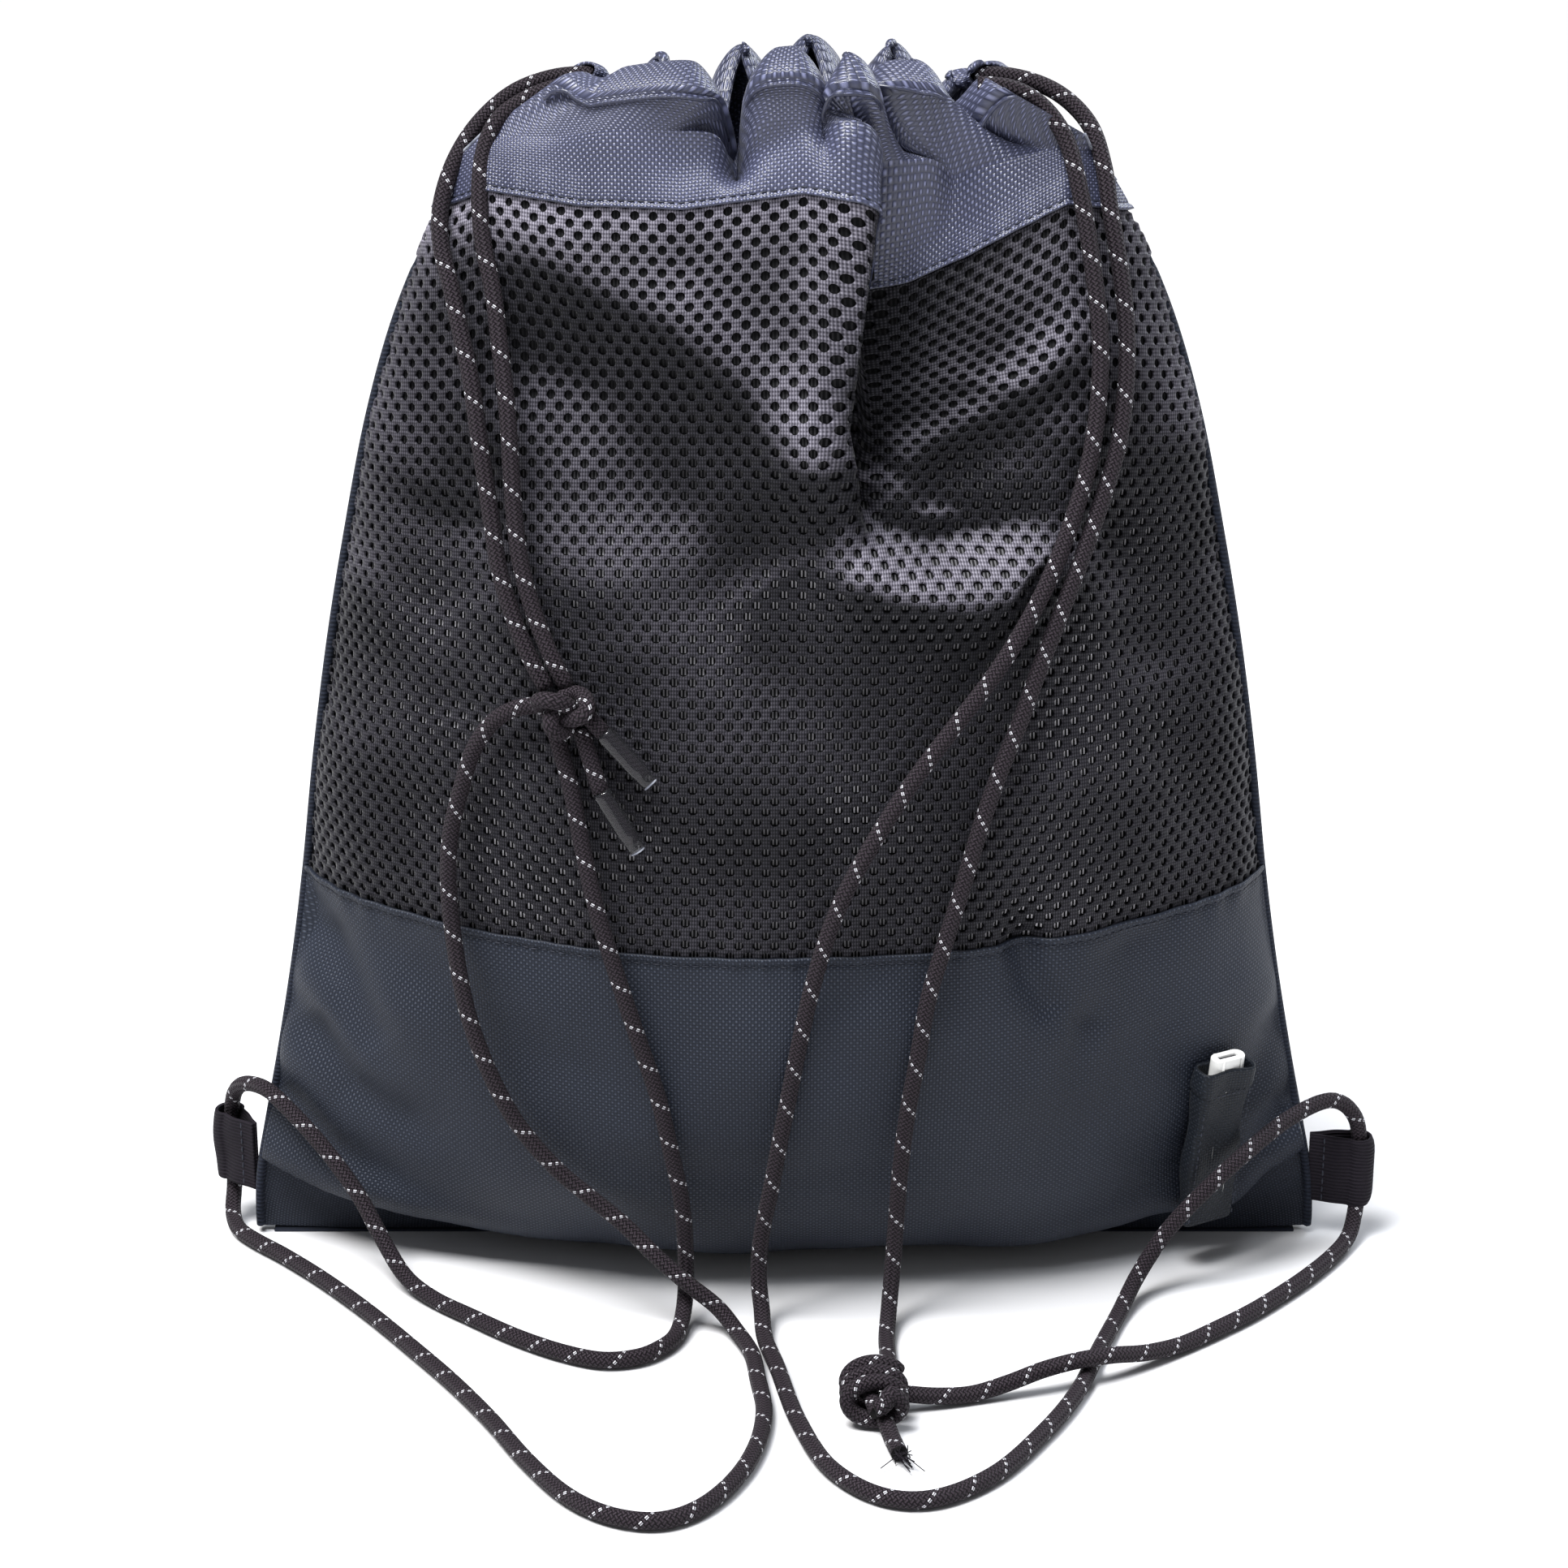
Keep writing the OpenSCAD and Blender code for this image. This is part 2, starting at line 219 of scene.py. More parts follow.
def wovenMaterial(name, s):  # plain weave: threads over and under each other in two directions
    material, tree, shader = newMaterial(
        name, s["color"], s["roughness"],
        Sheen_Weight=s["sheen"], Sheen_Roughness=s["sheenRoughness"], Specular_IOR_Level=s["gloss"],
    )
    u, v, uv = uvAxes(tree)
    across = calc(tree, "SINE", calc(tree, "MULTIPLY", u, math.pi / s["pitch"]))
    along = calc(tree, "SINE", calc(tree, "MULTIPLY", v, math.pi / s["pitch"]))
    over = calc(tree, "MULTIPLY", across, along)
    lift = calc(tree, "ADD", calc(tree, "ABSOLUTE", over), calc(tree, "MULTIPLY", over, 0.45))
    cloudy = noiseAt(tree, uv, s["cloud"])
    grain = noiseAt(tree, uv, s["grain"], 1.0)
    parts = [calc(tree, "MULTIPLY", part, share) for part, share in zip((lift, cloudy, grain), s["shares"])]
    shade = calc(tree, "ADD", calc(tree, "ADD", parts[0], parts[1]), parts[2])
    color = colorRamp(tree, shade, [(0.15, s["dark"]), (0.55, s["color"]), (1.0, s["light"])])
    tree.links.new(color, shader.inputs["Base Color"])
    rough = calc(tree, "MULTIPLY_ADD", cloudy, 0.2, s["roughness"] - 0.1)
    tree.links.new(rough, shader.inputs["Roughness"])
    addBump(tree, shader, calc(tree, "ADD", lift, calc(tree, "MULTIPLY", grain, 0.3)), s["bump"])
    return material


def knitMaterial(name, s):  # fine knitted yarn, for the walls between the holes
    material, tree, shader = newMaterial(
        name, s["color"], s["roughness"],
        Sheen_Weight=s["sheen"], Sheen_Roughness=s["sheenRoughness"], Specular_IOR_Level=s["gloss"],
    )
    u, v, uv = uvAxes(tree)
    loops = calc(tree, "SINE", calc(tree, "MULTIPLY", v, 2 * math.pi / s["course"]))
    sway = calc(tree, "MULTIPLY", loops, s["sway"])
    wales = calc(tree, "SINE", calc(tree, "MULTIPLY_ADD", u, 2 * math.pi / s["wale"], sway))
    yarn = calc(tree, "MULTIPLY_ADD", wales, 0.3, calc(tree, "MULTIPLY_ADD", loops, 0.2, 0.5))
    cloudy = noiseAt(tree, uv, s["cloud"])
    shade = calc(tree, "ADD", calc(tree, "MULTIPLY", yarn, 0.6), calc(tree, "MULTIPLY", cloudy, 0.4))
    # the vertex attribute mixes in a paler, lit copy of the yarn: painted highlight
    raised = tree.nodes.new("ShaderNodeAttribute")
    raised.attribute_name = "paintedHighlight"
    deep = colorRamp(tree, shade, [(0.2, s["dark"]), (0.55, s["color"]), (0.9, s["light"])])
    pale = colorRamp(tree, shade, [(0.2, s["paleDark"]), (0.55, s["pale"]), (0.9, s["paleLight"])])
    color = mixColors(tree, raised.outputs["Fac"], deep, pale)
    tree.links.new(color, shader.inputs["Base Color"])
    addBump(tree, shader, yarn, s["bump"])
    return material


def backYarnMaterial(name, s):  # the mesh's inner face: short pale strokes in pairs behind each hole
    material, tree, shader = newMaterial(name, s["color"], 0.7, Specular_IOR_Level=0.15)
    u, v, uv = uvAxes(tree)
    row = calc(tree, "DIVIDE", v, s["rowPitch"])
    odd = calc(tree, "MULTIPLY", calc(tree, "MODULO", calc(tree, "ROUND", row), 2.0), 0.5)
    inRow = calc(tree, "SUBTRACT", calc(tree, "FRACT", calc(tree, "ADD", row, 0.5)), 0.5)
    column = calc(tree, "ADD", calc(tree, "DIVIDE", u, s["holePitch"]), odd)
    inColumn = calc(tree, "SUBTRACT", calc(tree, "FRACT", calc(tree, "ADD", column, 0.5)), 0.5)
    apart = calc(tree, "ABSOLUTE", calc(tree, "SUBTRACT", calc(tree, "ABSOLUTE", inColumn), s["strokeAt"]))
    stroke = calc(tree, "LESS_THAN", apart, s["strokeHalf"])
    short = calc(tree, "LESS_THAN", calc(tree, "ABSOLUTE", inRow), s["strokeReach"])
    contrast, offset, least, most = s["patches"]
    patch = calc(tree, "MULTIPLY_ADD", noiseAt(tree, uv, s["patchScale"], 2.0), contrast, offset)
    patch = calc(tree, "MINIMUM", calc(tree, "MAXIMUM", patch, least), most)
    high = calc(tree, "MULTIPLY_ADD", v, -1 / s["fadeSpan"], s["fadeTo"] / s["fadeSpan"])
    high = calc(tree, "MINIMUM", calc(tree, "MAXIMUM", high, s["faintest"]), 1.0)
    patch = calc(tree, "MULTIPLY", patch, high)
    mask = calc(tree, "MULTIPLY", calc(tree, "MULTIPLY", stroke, short), patch)
    color = mixColors(tree, mask, s["color"], s["stroke"])
    tree.links.new(color, shader.inputs["Base Color"])
    return material


def braidMaterial(name, s):  # tubular braid; u runs round the cord, v along it in metres
    material, tree, shader = newMaterial(
        name, s["color"], s["roughness"], Sheen_Weight=0.03, Specular_IOR_Level=0.12
    )
    u, v, uv = uvAxes(tree)
    turns = calc(tree, "DIVIDE", v, s["lay"])
    right = calc(tree, "MULTIPLY", calc(tree, "ADD", u, turns), float(s["strands"]))
    left = calc(tree, "MULTIPLY", calc(tree, "SUBTRACT", u, turns), float(s["strands"]))
    inRight, inLeft = calc(tree, "FRACT", right), calc(tree, "FRACT", left)
    steps = calc(tree, "ADD", calc(tree, "FLOOR", right), calc(tree, "FLOOR", left))
    rightOnTop = calc(tree, "FLOORED_MODULO", steps, 2.0)
    crownRight = calc(tree, "SINE", calc(tree, "MULTIPLY", inRight, math.pi))
    crownLeft = calc(tree, "SINE", calc(tree, "MULTIPLY", inLeft, math.pi))
    picked = calc(tree, "MULTIPLY", crownRight, rightOnTop)
    other = calc(tree, "MULTIPLY", crownLeft, calc(tree, "SUBTRACT", 1.0, rightOnTop))
    crown = calc(tree, "ADD", picked, other)
    fibre = noiseAt(tree, uv, 900, 2.0)
    shade = calc(tree, "MULTIPLY_ADD", crown, 0.7, calc(tree, "MULTIPLY", fibre, 0.3))
    base = colorRamp(tree, shade, [(0.1, s["dark"]), (0.6, s["color"]), (1.0, s["light"])])
    strand = calc(tree, "FLOORED_MODULO", calc(tree, "FLOOR", right), float(s["strands"]))
    tracer = calc(tree, "LESS_THAN", strand, 0.5)
    fromMiddle = calc(tree, "ABSOLUTE", calc(tree, "SUBTRACT", inRight, 0.5))
    fromTwin = calc(tree, "ABSOLUTE", calc(tree, "SUBTRACT", fromMiddle, 0.25))
    twin = calc(tree, "LESS_THAN", fromTwin, s["fleckHalf"])
    middle = calc(tree, "GREATER_THAN", crownLeft, 0.12)
    fleck = calc(tree, "MULTIPLY", tracer, rightOnTop)
    fleck = calc(tree, "MULTIPLY", fleck, calc(tree, "MULTIPLY", twin, middle))
    color = mixColors(tree, fleck, base, s["fleck"])
    tree.links.new(color, shader.inputs["Base Color"])
    addBump(tree, shader, crown, s["bump"])
    return material


def tapeMaterial(name, s):  # ribbed narrow tape
    material, tree, shader = newMaterial(
        name, s["color"], s["roughness"], Specular_IOR_Level=0.1, Sheen_Weight=0.03
    )
    where = objectCoords(tree)
    split = tree.nodes.new("ShaderNodeSeparateXYZ")
    tree.links.new(where, split.inputs[0])
    rib = calc(tree, "SINE", calc(tree, "MULTIPLY", split.outputs[2], 2 * math.pi / s["rib"]))
    fibre = noiseAt(tree, where, 1500, 2.0)
    ribShade = calc(tree, "MULTIPLY_ADD", rib, 0.2, 0.35)
    shade = calc(tree, "ADD", ribShade, calc(tree, "MULTIPLY", fibre, 0.3))
    color = colorRamp(tree, shade, [(0.1, s["dark"]), (0.9, s["light"])])
    tree.links.new(color, shader.inputs["Base Color"])
    addBump(tree, shader, calc(tree, "ADD", rib, fibre), s["bump"])
    return material


def mouldedMaterial(name, s):
    material, tree, shader = newMaterial(name, s["color"], s["roughness"], Coat_Weight=s["coat"])
    where = objectCoords(tree)
    speckle = noiseAt(tree, where, 260, 4.0)
    color = colorRamp(tree, speckle, [(0.3, s["dark"]), (0.7, s["color"])])
    tree.links.new(color, shader.inputs["Base Color"])
    tree.links.new(calc(tree, "MULTIPLY_ADD", speckle, 0.15, s["roughness"]), shader.inputs["Roughness"])
    addBump(tree, shader, noiseAt(tree, where, 700, 2.0), 0.00003)
    return material


def clearMaterial(name, s):
    material, tree, shader = newMaterial(
        name, s["color"], s["roughness"], Alpha=s["alpha"], Coat_Weight=s["coat"]
    )
    cloudy = noiseAt(tree, objectCoords(tree), 120, 2.0)
    tree.links.new(calc(tree, "MULTIPLY_ADD", cloudy, 0.1, s["roughness"]), shader.inputs["Roughness"])
    return material


oxfordSettings = {
    "color": (0.020, 0.025, 0.039), "dark": (0.004, 0.005, 0.009), "light": (0.070, 0.082, 0.112),
    "roughness": 0.48, "sheen": 0.02, "sheenRoughness": 0.4, "gloss": 0.22,
    "pitch": 0.0010, "cloud": 12, "grain": 2400, "shares": (0.42, 0.45, 0.18),  # of weave, cloud and grain
    "bump": 0.00016,
}
topOxfordSettings = dict(
    oxfordSettings, color=(0.060, 0.066, 0.118), dark=(0.008, 0.009, 0.019), light=(0.24, 0.255, 0.41),
    roughness=0.34, sheen=0.08, gloss=0.6,
)
pocketClothSettings = dict(
    oxfordSettings, color=(0.008, 0.011, 0.017), dark=(0.002, 0.003, 0.005), light=(0.024, 0.030, 0.042),
)
oxford = wovenMaterial("oxfordCloth", oxfordSettings)
topOxford = wovenMaterial("oxfordTop", topOxfordSettings)
pocketCloth = wovenMaterial("pocketCloth", pocketClothSettings)
meshKnit = knitMaterial("meshKnit", {
    "color": (0.010, 0.010, 0.013), "dark": (0.003, 0.003, 0.004), "light": (0.045, 0.043, 0.052),
    # pale colours: a lit copy of the yarn, used for painted highlight
    "pale": (0.290, 0.272, 0.335), "paleDark": (0.060, 0.055, 0.076), "paleLight": (0.72, 0.68, 0.80),
    "roughness": 0.5, "sheen": 0.10, "sheenRoughness": 0.35, "gloss": 0.12,
    "wale": 0.0008, "course": 0.0011, "sway": 0.35, "cloud": 30, "bump": 0.00012,
})
meshBack = backYarnMaterial("meshBackYarn", {
    "color": (0.004, 0.004, 0.005), "stroke": (0.80, 0.78, 0.82), "holePitch": 0.0055, "rowPitch": 0.0033,
    "strokeAt": 0.1, "strokeHalf": 0.042, "strokeReach": 0.3,  # shares of a hole's pitch
    "patchScale": 14, "patches": (5.0, -2.3, 0.22, 0.95),  # contrast, offset, least, most
    "fadeTo": 0.335, "fadeSpan": 0.08, "faintest": 0.06,
})
braid = braidMaterial("braidedCord", {
    "color": (0.012, 0.009, 0.012), "dark": (0.002, 0.0015, 0.002), "light": (0.060, 0.046, 0.058),
    "fleck": (0.66, 0.66, 0.70), "fleckHalf": 0.14, "roughness": 0.6, "lay": 0.0135, "strands": 9,
    "bump": 0.00030,
})
tabTape = tapeMaterial("tabTape", {
    "dark": (0.004, 0.003, 0.005), "color": (0.010, 0.008, 0.011), "light": (0.022, 0.018, 0.025),
    "roughness": 0.75, "rib": 0.0012, "bump": 0.00012,
})
bindingTape = tapeMaterial("bindingTape", {
    "dark": (0.005, 0.006, 0.010), "color": (0.012, 0.015, 0.024), "light": (0.030, 0.036, 0.055),
    "roughness": 0.7, "rib": 0.0014, "bump": 0.0001,
})
thread = mouldedMaterial("sewingThread", {
    "color": (0.030, 0.035, 0.055), "dark": (0.012, 0.014, 0.024), "roughness": 0.5, "coat": 0.0,
})
rawThread = mouldedMaterial("rawThread", {
    "color": (0.42, 0.44, 0.50), "dark": (0.10, 0.11, 0.15), "roughness": 0.7, "coat": 0.0,
})
whitePlastic = mouldedMaterial("whitePlastic", {
    "color": (0.86, 0.86, 0.84), "dark": (0.80, 0.80, 0.77), "roughness": 0.22, "coat": 0.4,
})
clearPlastic = clearMaterial("clearPlastic", {
    "color": (0.030, 0.030, 0.034), "roughness": 0.10, "alpha": 0.40, "coat": 1.0,
})
print("materials ready")

# Routes of the cords, in metres.
leftFrontRoute = [
    (-0.057, -0.01, 0.381), (-0.067, -0.009, 0.38), (-0.077, -0.008, 0.376), (-0.085, -0.009, 0.37),
    (-0.089, -0.012, 0.361), (-0.09, -0.018, 0.35), (-0.089, -0.023, 0.337), (-0.086, -0.028, 0.323),
    (-0.084, -0.033, 0.307), (-0.082, -0.038, 0.29), (-0.081, -0.042, 0.273), (-0.08, -0.045, 0.257),
    (-0.078, -0.048, 0.243), (-0.074, -0.051, 0.229), (-0.069, -0.054, 0.217), (-0.065, -0.055, 0.209)
]
leftBackRoute = [
    (-0.057, 0.01, 0.381), (-0.069, 0.01, 0.38), (-0.081, 0.007, 0.376), (-0.091, 0.002, 0.368),
    (-0.098, -0.005, 0.358), (-0.102, -0.012, 0.346), (-0.102, -0.017, 0.335), (-0.099, -0.023, 0.324),
    (-0.096, -0.028, 0.311), (-0.093, -0.033, 0.298), (-0.091, -0.037, 0.284), (-0.089, -0.04, 0.27),
    (-0.087, -0.043, 0.256), (-0.085, -0.046, 0.243), (-0.081, -0.049, 0.229), (-0.076, -0.052, 0.217),
    (-0.071, -0.054, 0.208)
]
leftOutRoute = [
    (-0.073, -0.054, 0.203), (-0.081, -0.052, 0.201), (-0.088, -0.05, 0.196), (-0.094, -0.049, 0.187),
    (-0.098, -0.049, 0.175), (-0.102, -0.049, 0.159), (-0.103, -0.05, 0.143), (-0.102, -0.051, 0.128),
    (-0.1, -0.053, 0.113), (-0.097, -0.055, 0.099), (-0.091, -0.057, 0.082), (-0.083, -0.058, 0.066),
    (-0.072, -0.059, 0.052), (-0.061, -0.06, 0.042), (-0.05, -0.062, 0.033), (-0.04, -0.066, 0.024),
    (-0.03, -0.069, 0.016), (-0.021, -0.071, 0.009), (-0.015, -0.077, 0.004), (-0.01, -0.09, 0.003),
    (-0.008, -0.106, 0.003), (-0.006, -0.125, 0.003), (-0.008, -0.145, 0.003), (-0.014, -0.164, 0.003),
    (-0.024, -0.18, 0.003), (-0.036, -0.187, 0.003), (-0.05, -0.184, 0.003), (-0.063, -0.173, 0.003),
    (-0.076, -0.153, 0.003), (-0.088, -0.13, 0.003), (-0.101, -0.108, 0.003), (-0.115, -0.087, 0.003),
    (-0.131, -0.064, 0.003), (-0.148, -0.042, 0.003), (-0.163, -0.025, 0.003), (-0.174, -0.014, 0.003),
    (-0.181, -0.005, 0.003), (-0.184, 0.004, 0.005), (-0.184, 0.01, 0.012), (-0.184, 0.013, 0.024)
]
leftReturnRoute = [
    (-0.184, 0.013, 0.024), (-0.184, 0.013, 0.037), (-0.182, 0.01, 0.046), (-0.177, 0.003, 0.052),
    (-0.169, -0.006, 0.054), (-0.161, -0.013, 0.05), (-0.153, -0.019, 0.044), (-0.145, -0.024, 0.036),
    (-0.137, -0.029, 0.026), (-0.13, -0.035, 0.015), (-0.122, -0.044, 0.006), (-0.112, -0.054, 0.003),
    (-0.099, -0.066, 0.003), (-0.084, -0.079, 0.003), (-0.069, -0.089, 0.003), (-0.056, -0.094, 0.003),
    (-0.045, -0.092, 0.003), (-0.038, -0.086, 0.003), (-0.034, -0.079, 0.003), (-0.032, -0.071, 0.005),
    (-0.031, -0.064, 0.012), (-0.031, -0.062, 0.024), (-0.032, -0.064, 0.042), (-0.035, -0.066, 0.06),
    (-0.039, -0.067, 0.08), (-0.045, -0.067, 0.1), (-0.051, -0.066, 0.12), (-0.057, -0.064, 0.141),
    (-0.061, -0.061, 0.16), (-0.064, -0.059, 0.177), (-0.067, -0.057, 0.189), (-0.069, -0.056, 0.196)
]
rightFrontRoute = [
    (0.057, -0.01, 0.381), (0.067, -0.01, 0.38), (0.076, -0.01, 0.375), (0.083, -0.013, 0.366),
    (0.087, -0.018, 0.353), (0.091, -0.024, 0.332), (0.094, -0.03, 0.306), (0.092, -0.036, 0.279),
    (0.086, -0.042, 0.257), (0.077, -0.049, 0.236), (0.065, -0.055, 0.216), (0.051, -0.06, 0.198),
    (0.038, -0.064, 0.181), (0.026, -0.067, 0.162), (0.016, -0.069, 0.142), (0.008, -0.07, 0.115),
    (0, -0.068, 0.072), (-0.004, -0.066, 0.048), (-0.007, -0.064, 0.031), (-0.008, -0.064, 0.017),
    (-0.007, -0.069, 0.007), (-0.006, -0.08, 0.003), (-0.002, -0.099, 0.003), (0.004, -0.13, 0.003),
    (0.013, -0.157, 0.003), (0.027, -0.173, 0.003), (0.043, -0.175, 0.003), (0.061, -0.162, 0.003),
    (0.077, -0.138, 0.003), (0.089, -0.114, 0.003), (0.098, -0.087, 0.003), (0.106, -0.064, 0.003),
    (0.113, -0.05, 0.009), (0.122, -0.044, 0.021), (0.133, -0.041, 0.033), (0.148, -0.033, 0.044),
    (0.164, -0.019, 0.05), (0.179, -0.008, 0.051), (0.188, -0.004, 0.042), (0.19, -0.003, 0.024)
]
rightReturnRoute = [
    (0.19, -0.003, 0.024), (0.19, -0.003, 0.018), (0.189, -0.006, 0.01), (0.186, -0.013, 0.004),
    (0.179, -0.025, 0.003), (0.169, -0.039, 0.003), (0.159, -0.051, 0.003), (0.148, -0.063, 0.003),
    (0.136, -0.074, 0.003), (0.124, -0.084, 0.003), (0.112, -0.093, 0.005), (0.101, -0.1, 0.008),
    (0.09, -0.105, 0.009), (0.079, -0.109, 0.008), (0.068, -0.112, 0.005), (0.057, -0.115, 0.003),
    (0.046, -0.118, 0.004), (0.036, -0.12, 0.006)
]
rightBackRoute = [
    (0.057, 0.01, 0.381), (0.07, 0.01, 0.38), (0.082, 0.006, 0.376), (0.091, -0.001, 0.368),
    (0.095, -0.009, 0.357), (0.097, -0.015, 0.344), (0.1, -0.019, 0.328), (0.102, -0.023, 0.312),
    (0.102, -0.028, 0.296), (0.1, -0.033, 0.279), (0.096, -0.037, 0.265), (0.091, -0.042, 0.251),
    (0.086, -0.046, 0.238), (0.081, -0.049, 0.225), (0.076, -0.052, 0.212), (0.071, -0.055, 0.198),
    (0.065, -0.058, 0.183), (0.059, -0.061, 0.165), (0.054, -0.063, 0.147), (0.049, -0.065, 0.13),
    (0.044, -0.067, 0.112), (0.041, -0.067, 0.092), (0.038, -0.066, 0.072), (0.036, -0.064, 0.05),
    (0.035, -0.063, 0.031), (0.034, -0.064, 0.017), (0.033, -0.069, 0.007), (0.032, -0.08, 0.003),
    (0.032, -0.095, 0.003), (0.03, -0.108, 0.005)
]
leftUpperTailRoute = [
    (-0.06, -0.057, 0.202), (-0.057, -0.059, 0.199), (-0.054, -0.06, 0.196)
]
leftLowerTailRoute = [
    (-0.061, -0.058, 0.197), (-0.058, -0.06, 0.187), (-0.055, -0.062, 0.178)
]
rightTailRoute = [
    (0.03, -0.133, 0.005), (0.032, -0.141, 0.003), (0.034, -0.15, 0.003)
]

cordSettings = {"diameter": 0.0052, "sides": 16, "step": 0.0022}


def tubeAlong(bm, points, radius, sides, closed=True):  # a circle carried along the line, with its uv
    uvLayer = uvLayerOf(bm)
    heading = np.gradient(points, axis=0)
    heading /= np.linalg.norm(heading, axis=1)[:, None]
    length = np.r_[0, np.cumsum(np.linalg.norm(np.diff(points, axis=0), axis=1))]
    start = Vector((1, 0, 0)) if abs(heading[0][0]) < 0.8 else Vector((0, 0, 1))
    radii = np.broadcast_to(radius, len(points))
    ring = bmesh.ops.create_circle(bm, segments=sides, radius=1.0, cap_ends=False)["verts"]
    base = [Vector((v.co.x, v.co.y)) for v in ring]
    edges = list({e for v in ring for e in v.link_edges})
    normal = start
    previous = firstRing = ring
    previousSet = set(ring)
    for i, (p, h) in enumerate(zip(points, heading)):
        h = Vector(h)
        normal = (normal - h * normal.dot(h)).normalized()
        side = h.cross(normal)
        if i:
            made = bmesh.ops.extrude_edge_only(bm, edges=edges)["geom"]
            fresh = [g for g in made if isinstance(g, bmesh.types.BMVert)]
            links = {}
            for v in fresh:
                for e in v.link_edges:
                    o = e.other_vert(v)
                    if o in previousSet:
                        links[o] = v
            ring = [links[v] for v in previous]
            freshSet = set(ring)
            edges = [e for e in made if isinstance(e, bmesh.types.BMEdge)
                     and e.verts[0] in freshSet and e.verts[1] in freshSet]
            for k in range(sides):
                a, b = previous[k], previous[(k + 1) % sides]
                c, d = ring[(k + 1) % sides], ring[k]
                face = next(f for f in d.link_faces if a in f.verts and b in f.verts and c in f.verts)
                place = {a: (k / sides, length[i - 1]), b: ((k + 1) / sides, length[i - 1]),
                         c: ((k + 1) / sides, length[i]), d: (k / sides, length[i])}
                for loop in face.loops:
                    loop[uvLayer].uv = place[loop.vert]
        for v, c in zip(ring, base):
            v.co = Vector(p) + (normal * c.x + side * c.y) * float(radii[i])
        previous, previousSet = ring, set(ring)
    if closed:
        bm.faces.new(firstRing)
        bm.faces.new(ring)
    return bm


def makeTube(name, points, radius, sides, material):
    bm = bmesh.new()
    tubeAlong(bm, points, radius, sides)
    bmesh.ops.recalc_face_normals(bm, faces=bm.faces)
    return linkMesh(name, bm, material)


def makeCord(name, route, s):
    points = evenPoints(curvePoints(route, 12), s["step"])
    piece = makeTube(name, points, s["diameter"] / 2, s["sides"], braid)
    return piece, points


cordMakers = {
    "leftCordFront": (leftFrontRoute, "left_cord_front"),
    "leftCordBack": (leftBackRoute, "left_cord_back"),
    "leftCordOut": (leftOutRoute, "left_cord_out"),
    "leftCordReturn": (leftReturnRoute, "left_cord_return"),
    "rightCordFront": (rightFrontRoute, "right_cord_front"),
    "rightCordReturn": (rightReturnRoute, "right_cord_return"),
    "rightCordBack": (rightBackRoute, "right_cord_back"),
    "leftTailUpper": (leftUpperTailRoute, "left_tail_upper"),
    "leftTailLower": (leftLowerTailRoute, "left_tail_lower"),
    "rightTail": (rightTailRoute, "right_tail"),
}
cords, cordLines = {}, {}
for name, (route, node) in cordMakers.items():
    cords[name], cordLines[name] = makeCord(name, route, cordSettings)
    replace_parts(cords[name], node)
print("cords ready")

# One smooth form for each side, sampled on a grid: a runs from seam to seam, v up the stations.
stations = np.array([  # half width, height at the seam, depth, height in the middle
    (0.174, 0.002, 0, 0), (0.174, 0.009, 0.014, 0.0008), (0.173, 0.022, 0.037, 0.013),
    (0.169, 0.042, 0.051, 0.033), (0.164, 0.066, 0.059, 0.057), (0.158, 0.098, 0.062, 0.090),
    (0.153, 0.130, 0.062, 0.123), (0.148, 0.168, 0.060, 0.165), (0.142, 0.206, 0.056, 0.207),
    (0.135, 0.242, 0.051, 0.248), (0.127, 0.278, 0.044, 0.288), (0.117, 0.310, 0.037, 0.322),
    (0.104, 0.338, 0.030, 0.350), (0.090, 0.360, 0.022, 0.371), (0.076, 0.374, 0.014, 0.385),
])
formSettings = {
    "baseSeam": 6, "topSeam": 12, "rim": 13.75, "halfGap": 0.0022,
    "rows": 401, "columns": 441, "cordRoom": 0.0036, "seed": 7,
}


def stationAt(v):
    last = len(stations) - 1
    v = np.clip(v, 0, last)
    i = np.minimum(np.floor(v).astype(int), last - 1)
    f = (v - i)[..., None]
    before, after = stations[np.maximum(i - 1, 0)], stations[np.minimum(i + 2, last)]
    return curveBetween(before, stations[i], stations[i + 1], after, f)


def plainForm(a, v, side):
    u = np.sin(a * math.pi / 2)
    width, low, depth, high = np.moveaxis(stationAt(v), -1, 0)
    inward = np.clip(1 - u * u, 0, 1)
    full = inward ** (0.62 + 0.75 * np.clip(1 - v / 5, 0, 1))
    out = side * (formSettings["halfGap"] + depth * full)
    return np.stack([u * width, out, low + (high - low) * inward], -1)


def formNormals(points, side):
    across = np.gradient(points, axis=1)
    up = np.gradient(points, axis=0)
    n = -side * np.cross(across, up)
    n[:, 0], n[:, -1] = n[:, 1], n[:, -2]
    n[0], n[-1] = n[1], n[-2]
    return n / (np.linalg.norm(n, axis=-1, keepdims=True) + 1e-12)


def nearFold(x, z, path):  # distance from each point to a fold line, and how far along it, 0 to 1
    best = np.full(x.shape, 1e9)
    along = np.zeros(x.shape)
    path = np.array(path)
    count = len(path) - 1
    for i in range(count):
        a, b = path[i], path[i + 1]
        d = b - a
        t = np.clip(((x - a[0]) * d[0] + (z - a[1]) * d[1]) / (d @ d), 0, 1)
        gap = np.hypot(x - a[0] - t * d[0], z - a[1] - t * d[1])
        closer = gap < best
        best = np.where(closer, gap, best)
        along = np.where(closer, (i + t) / count, along)
    return best, along


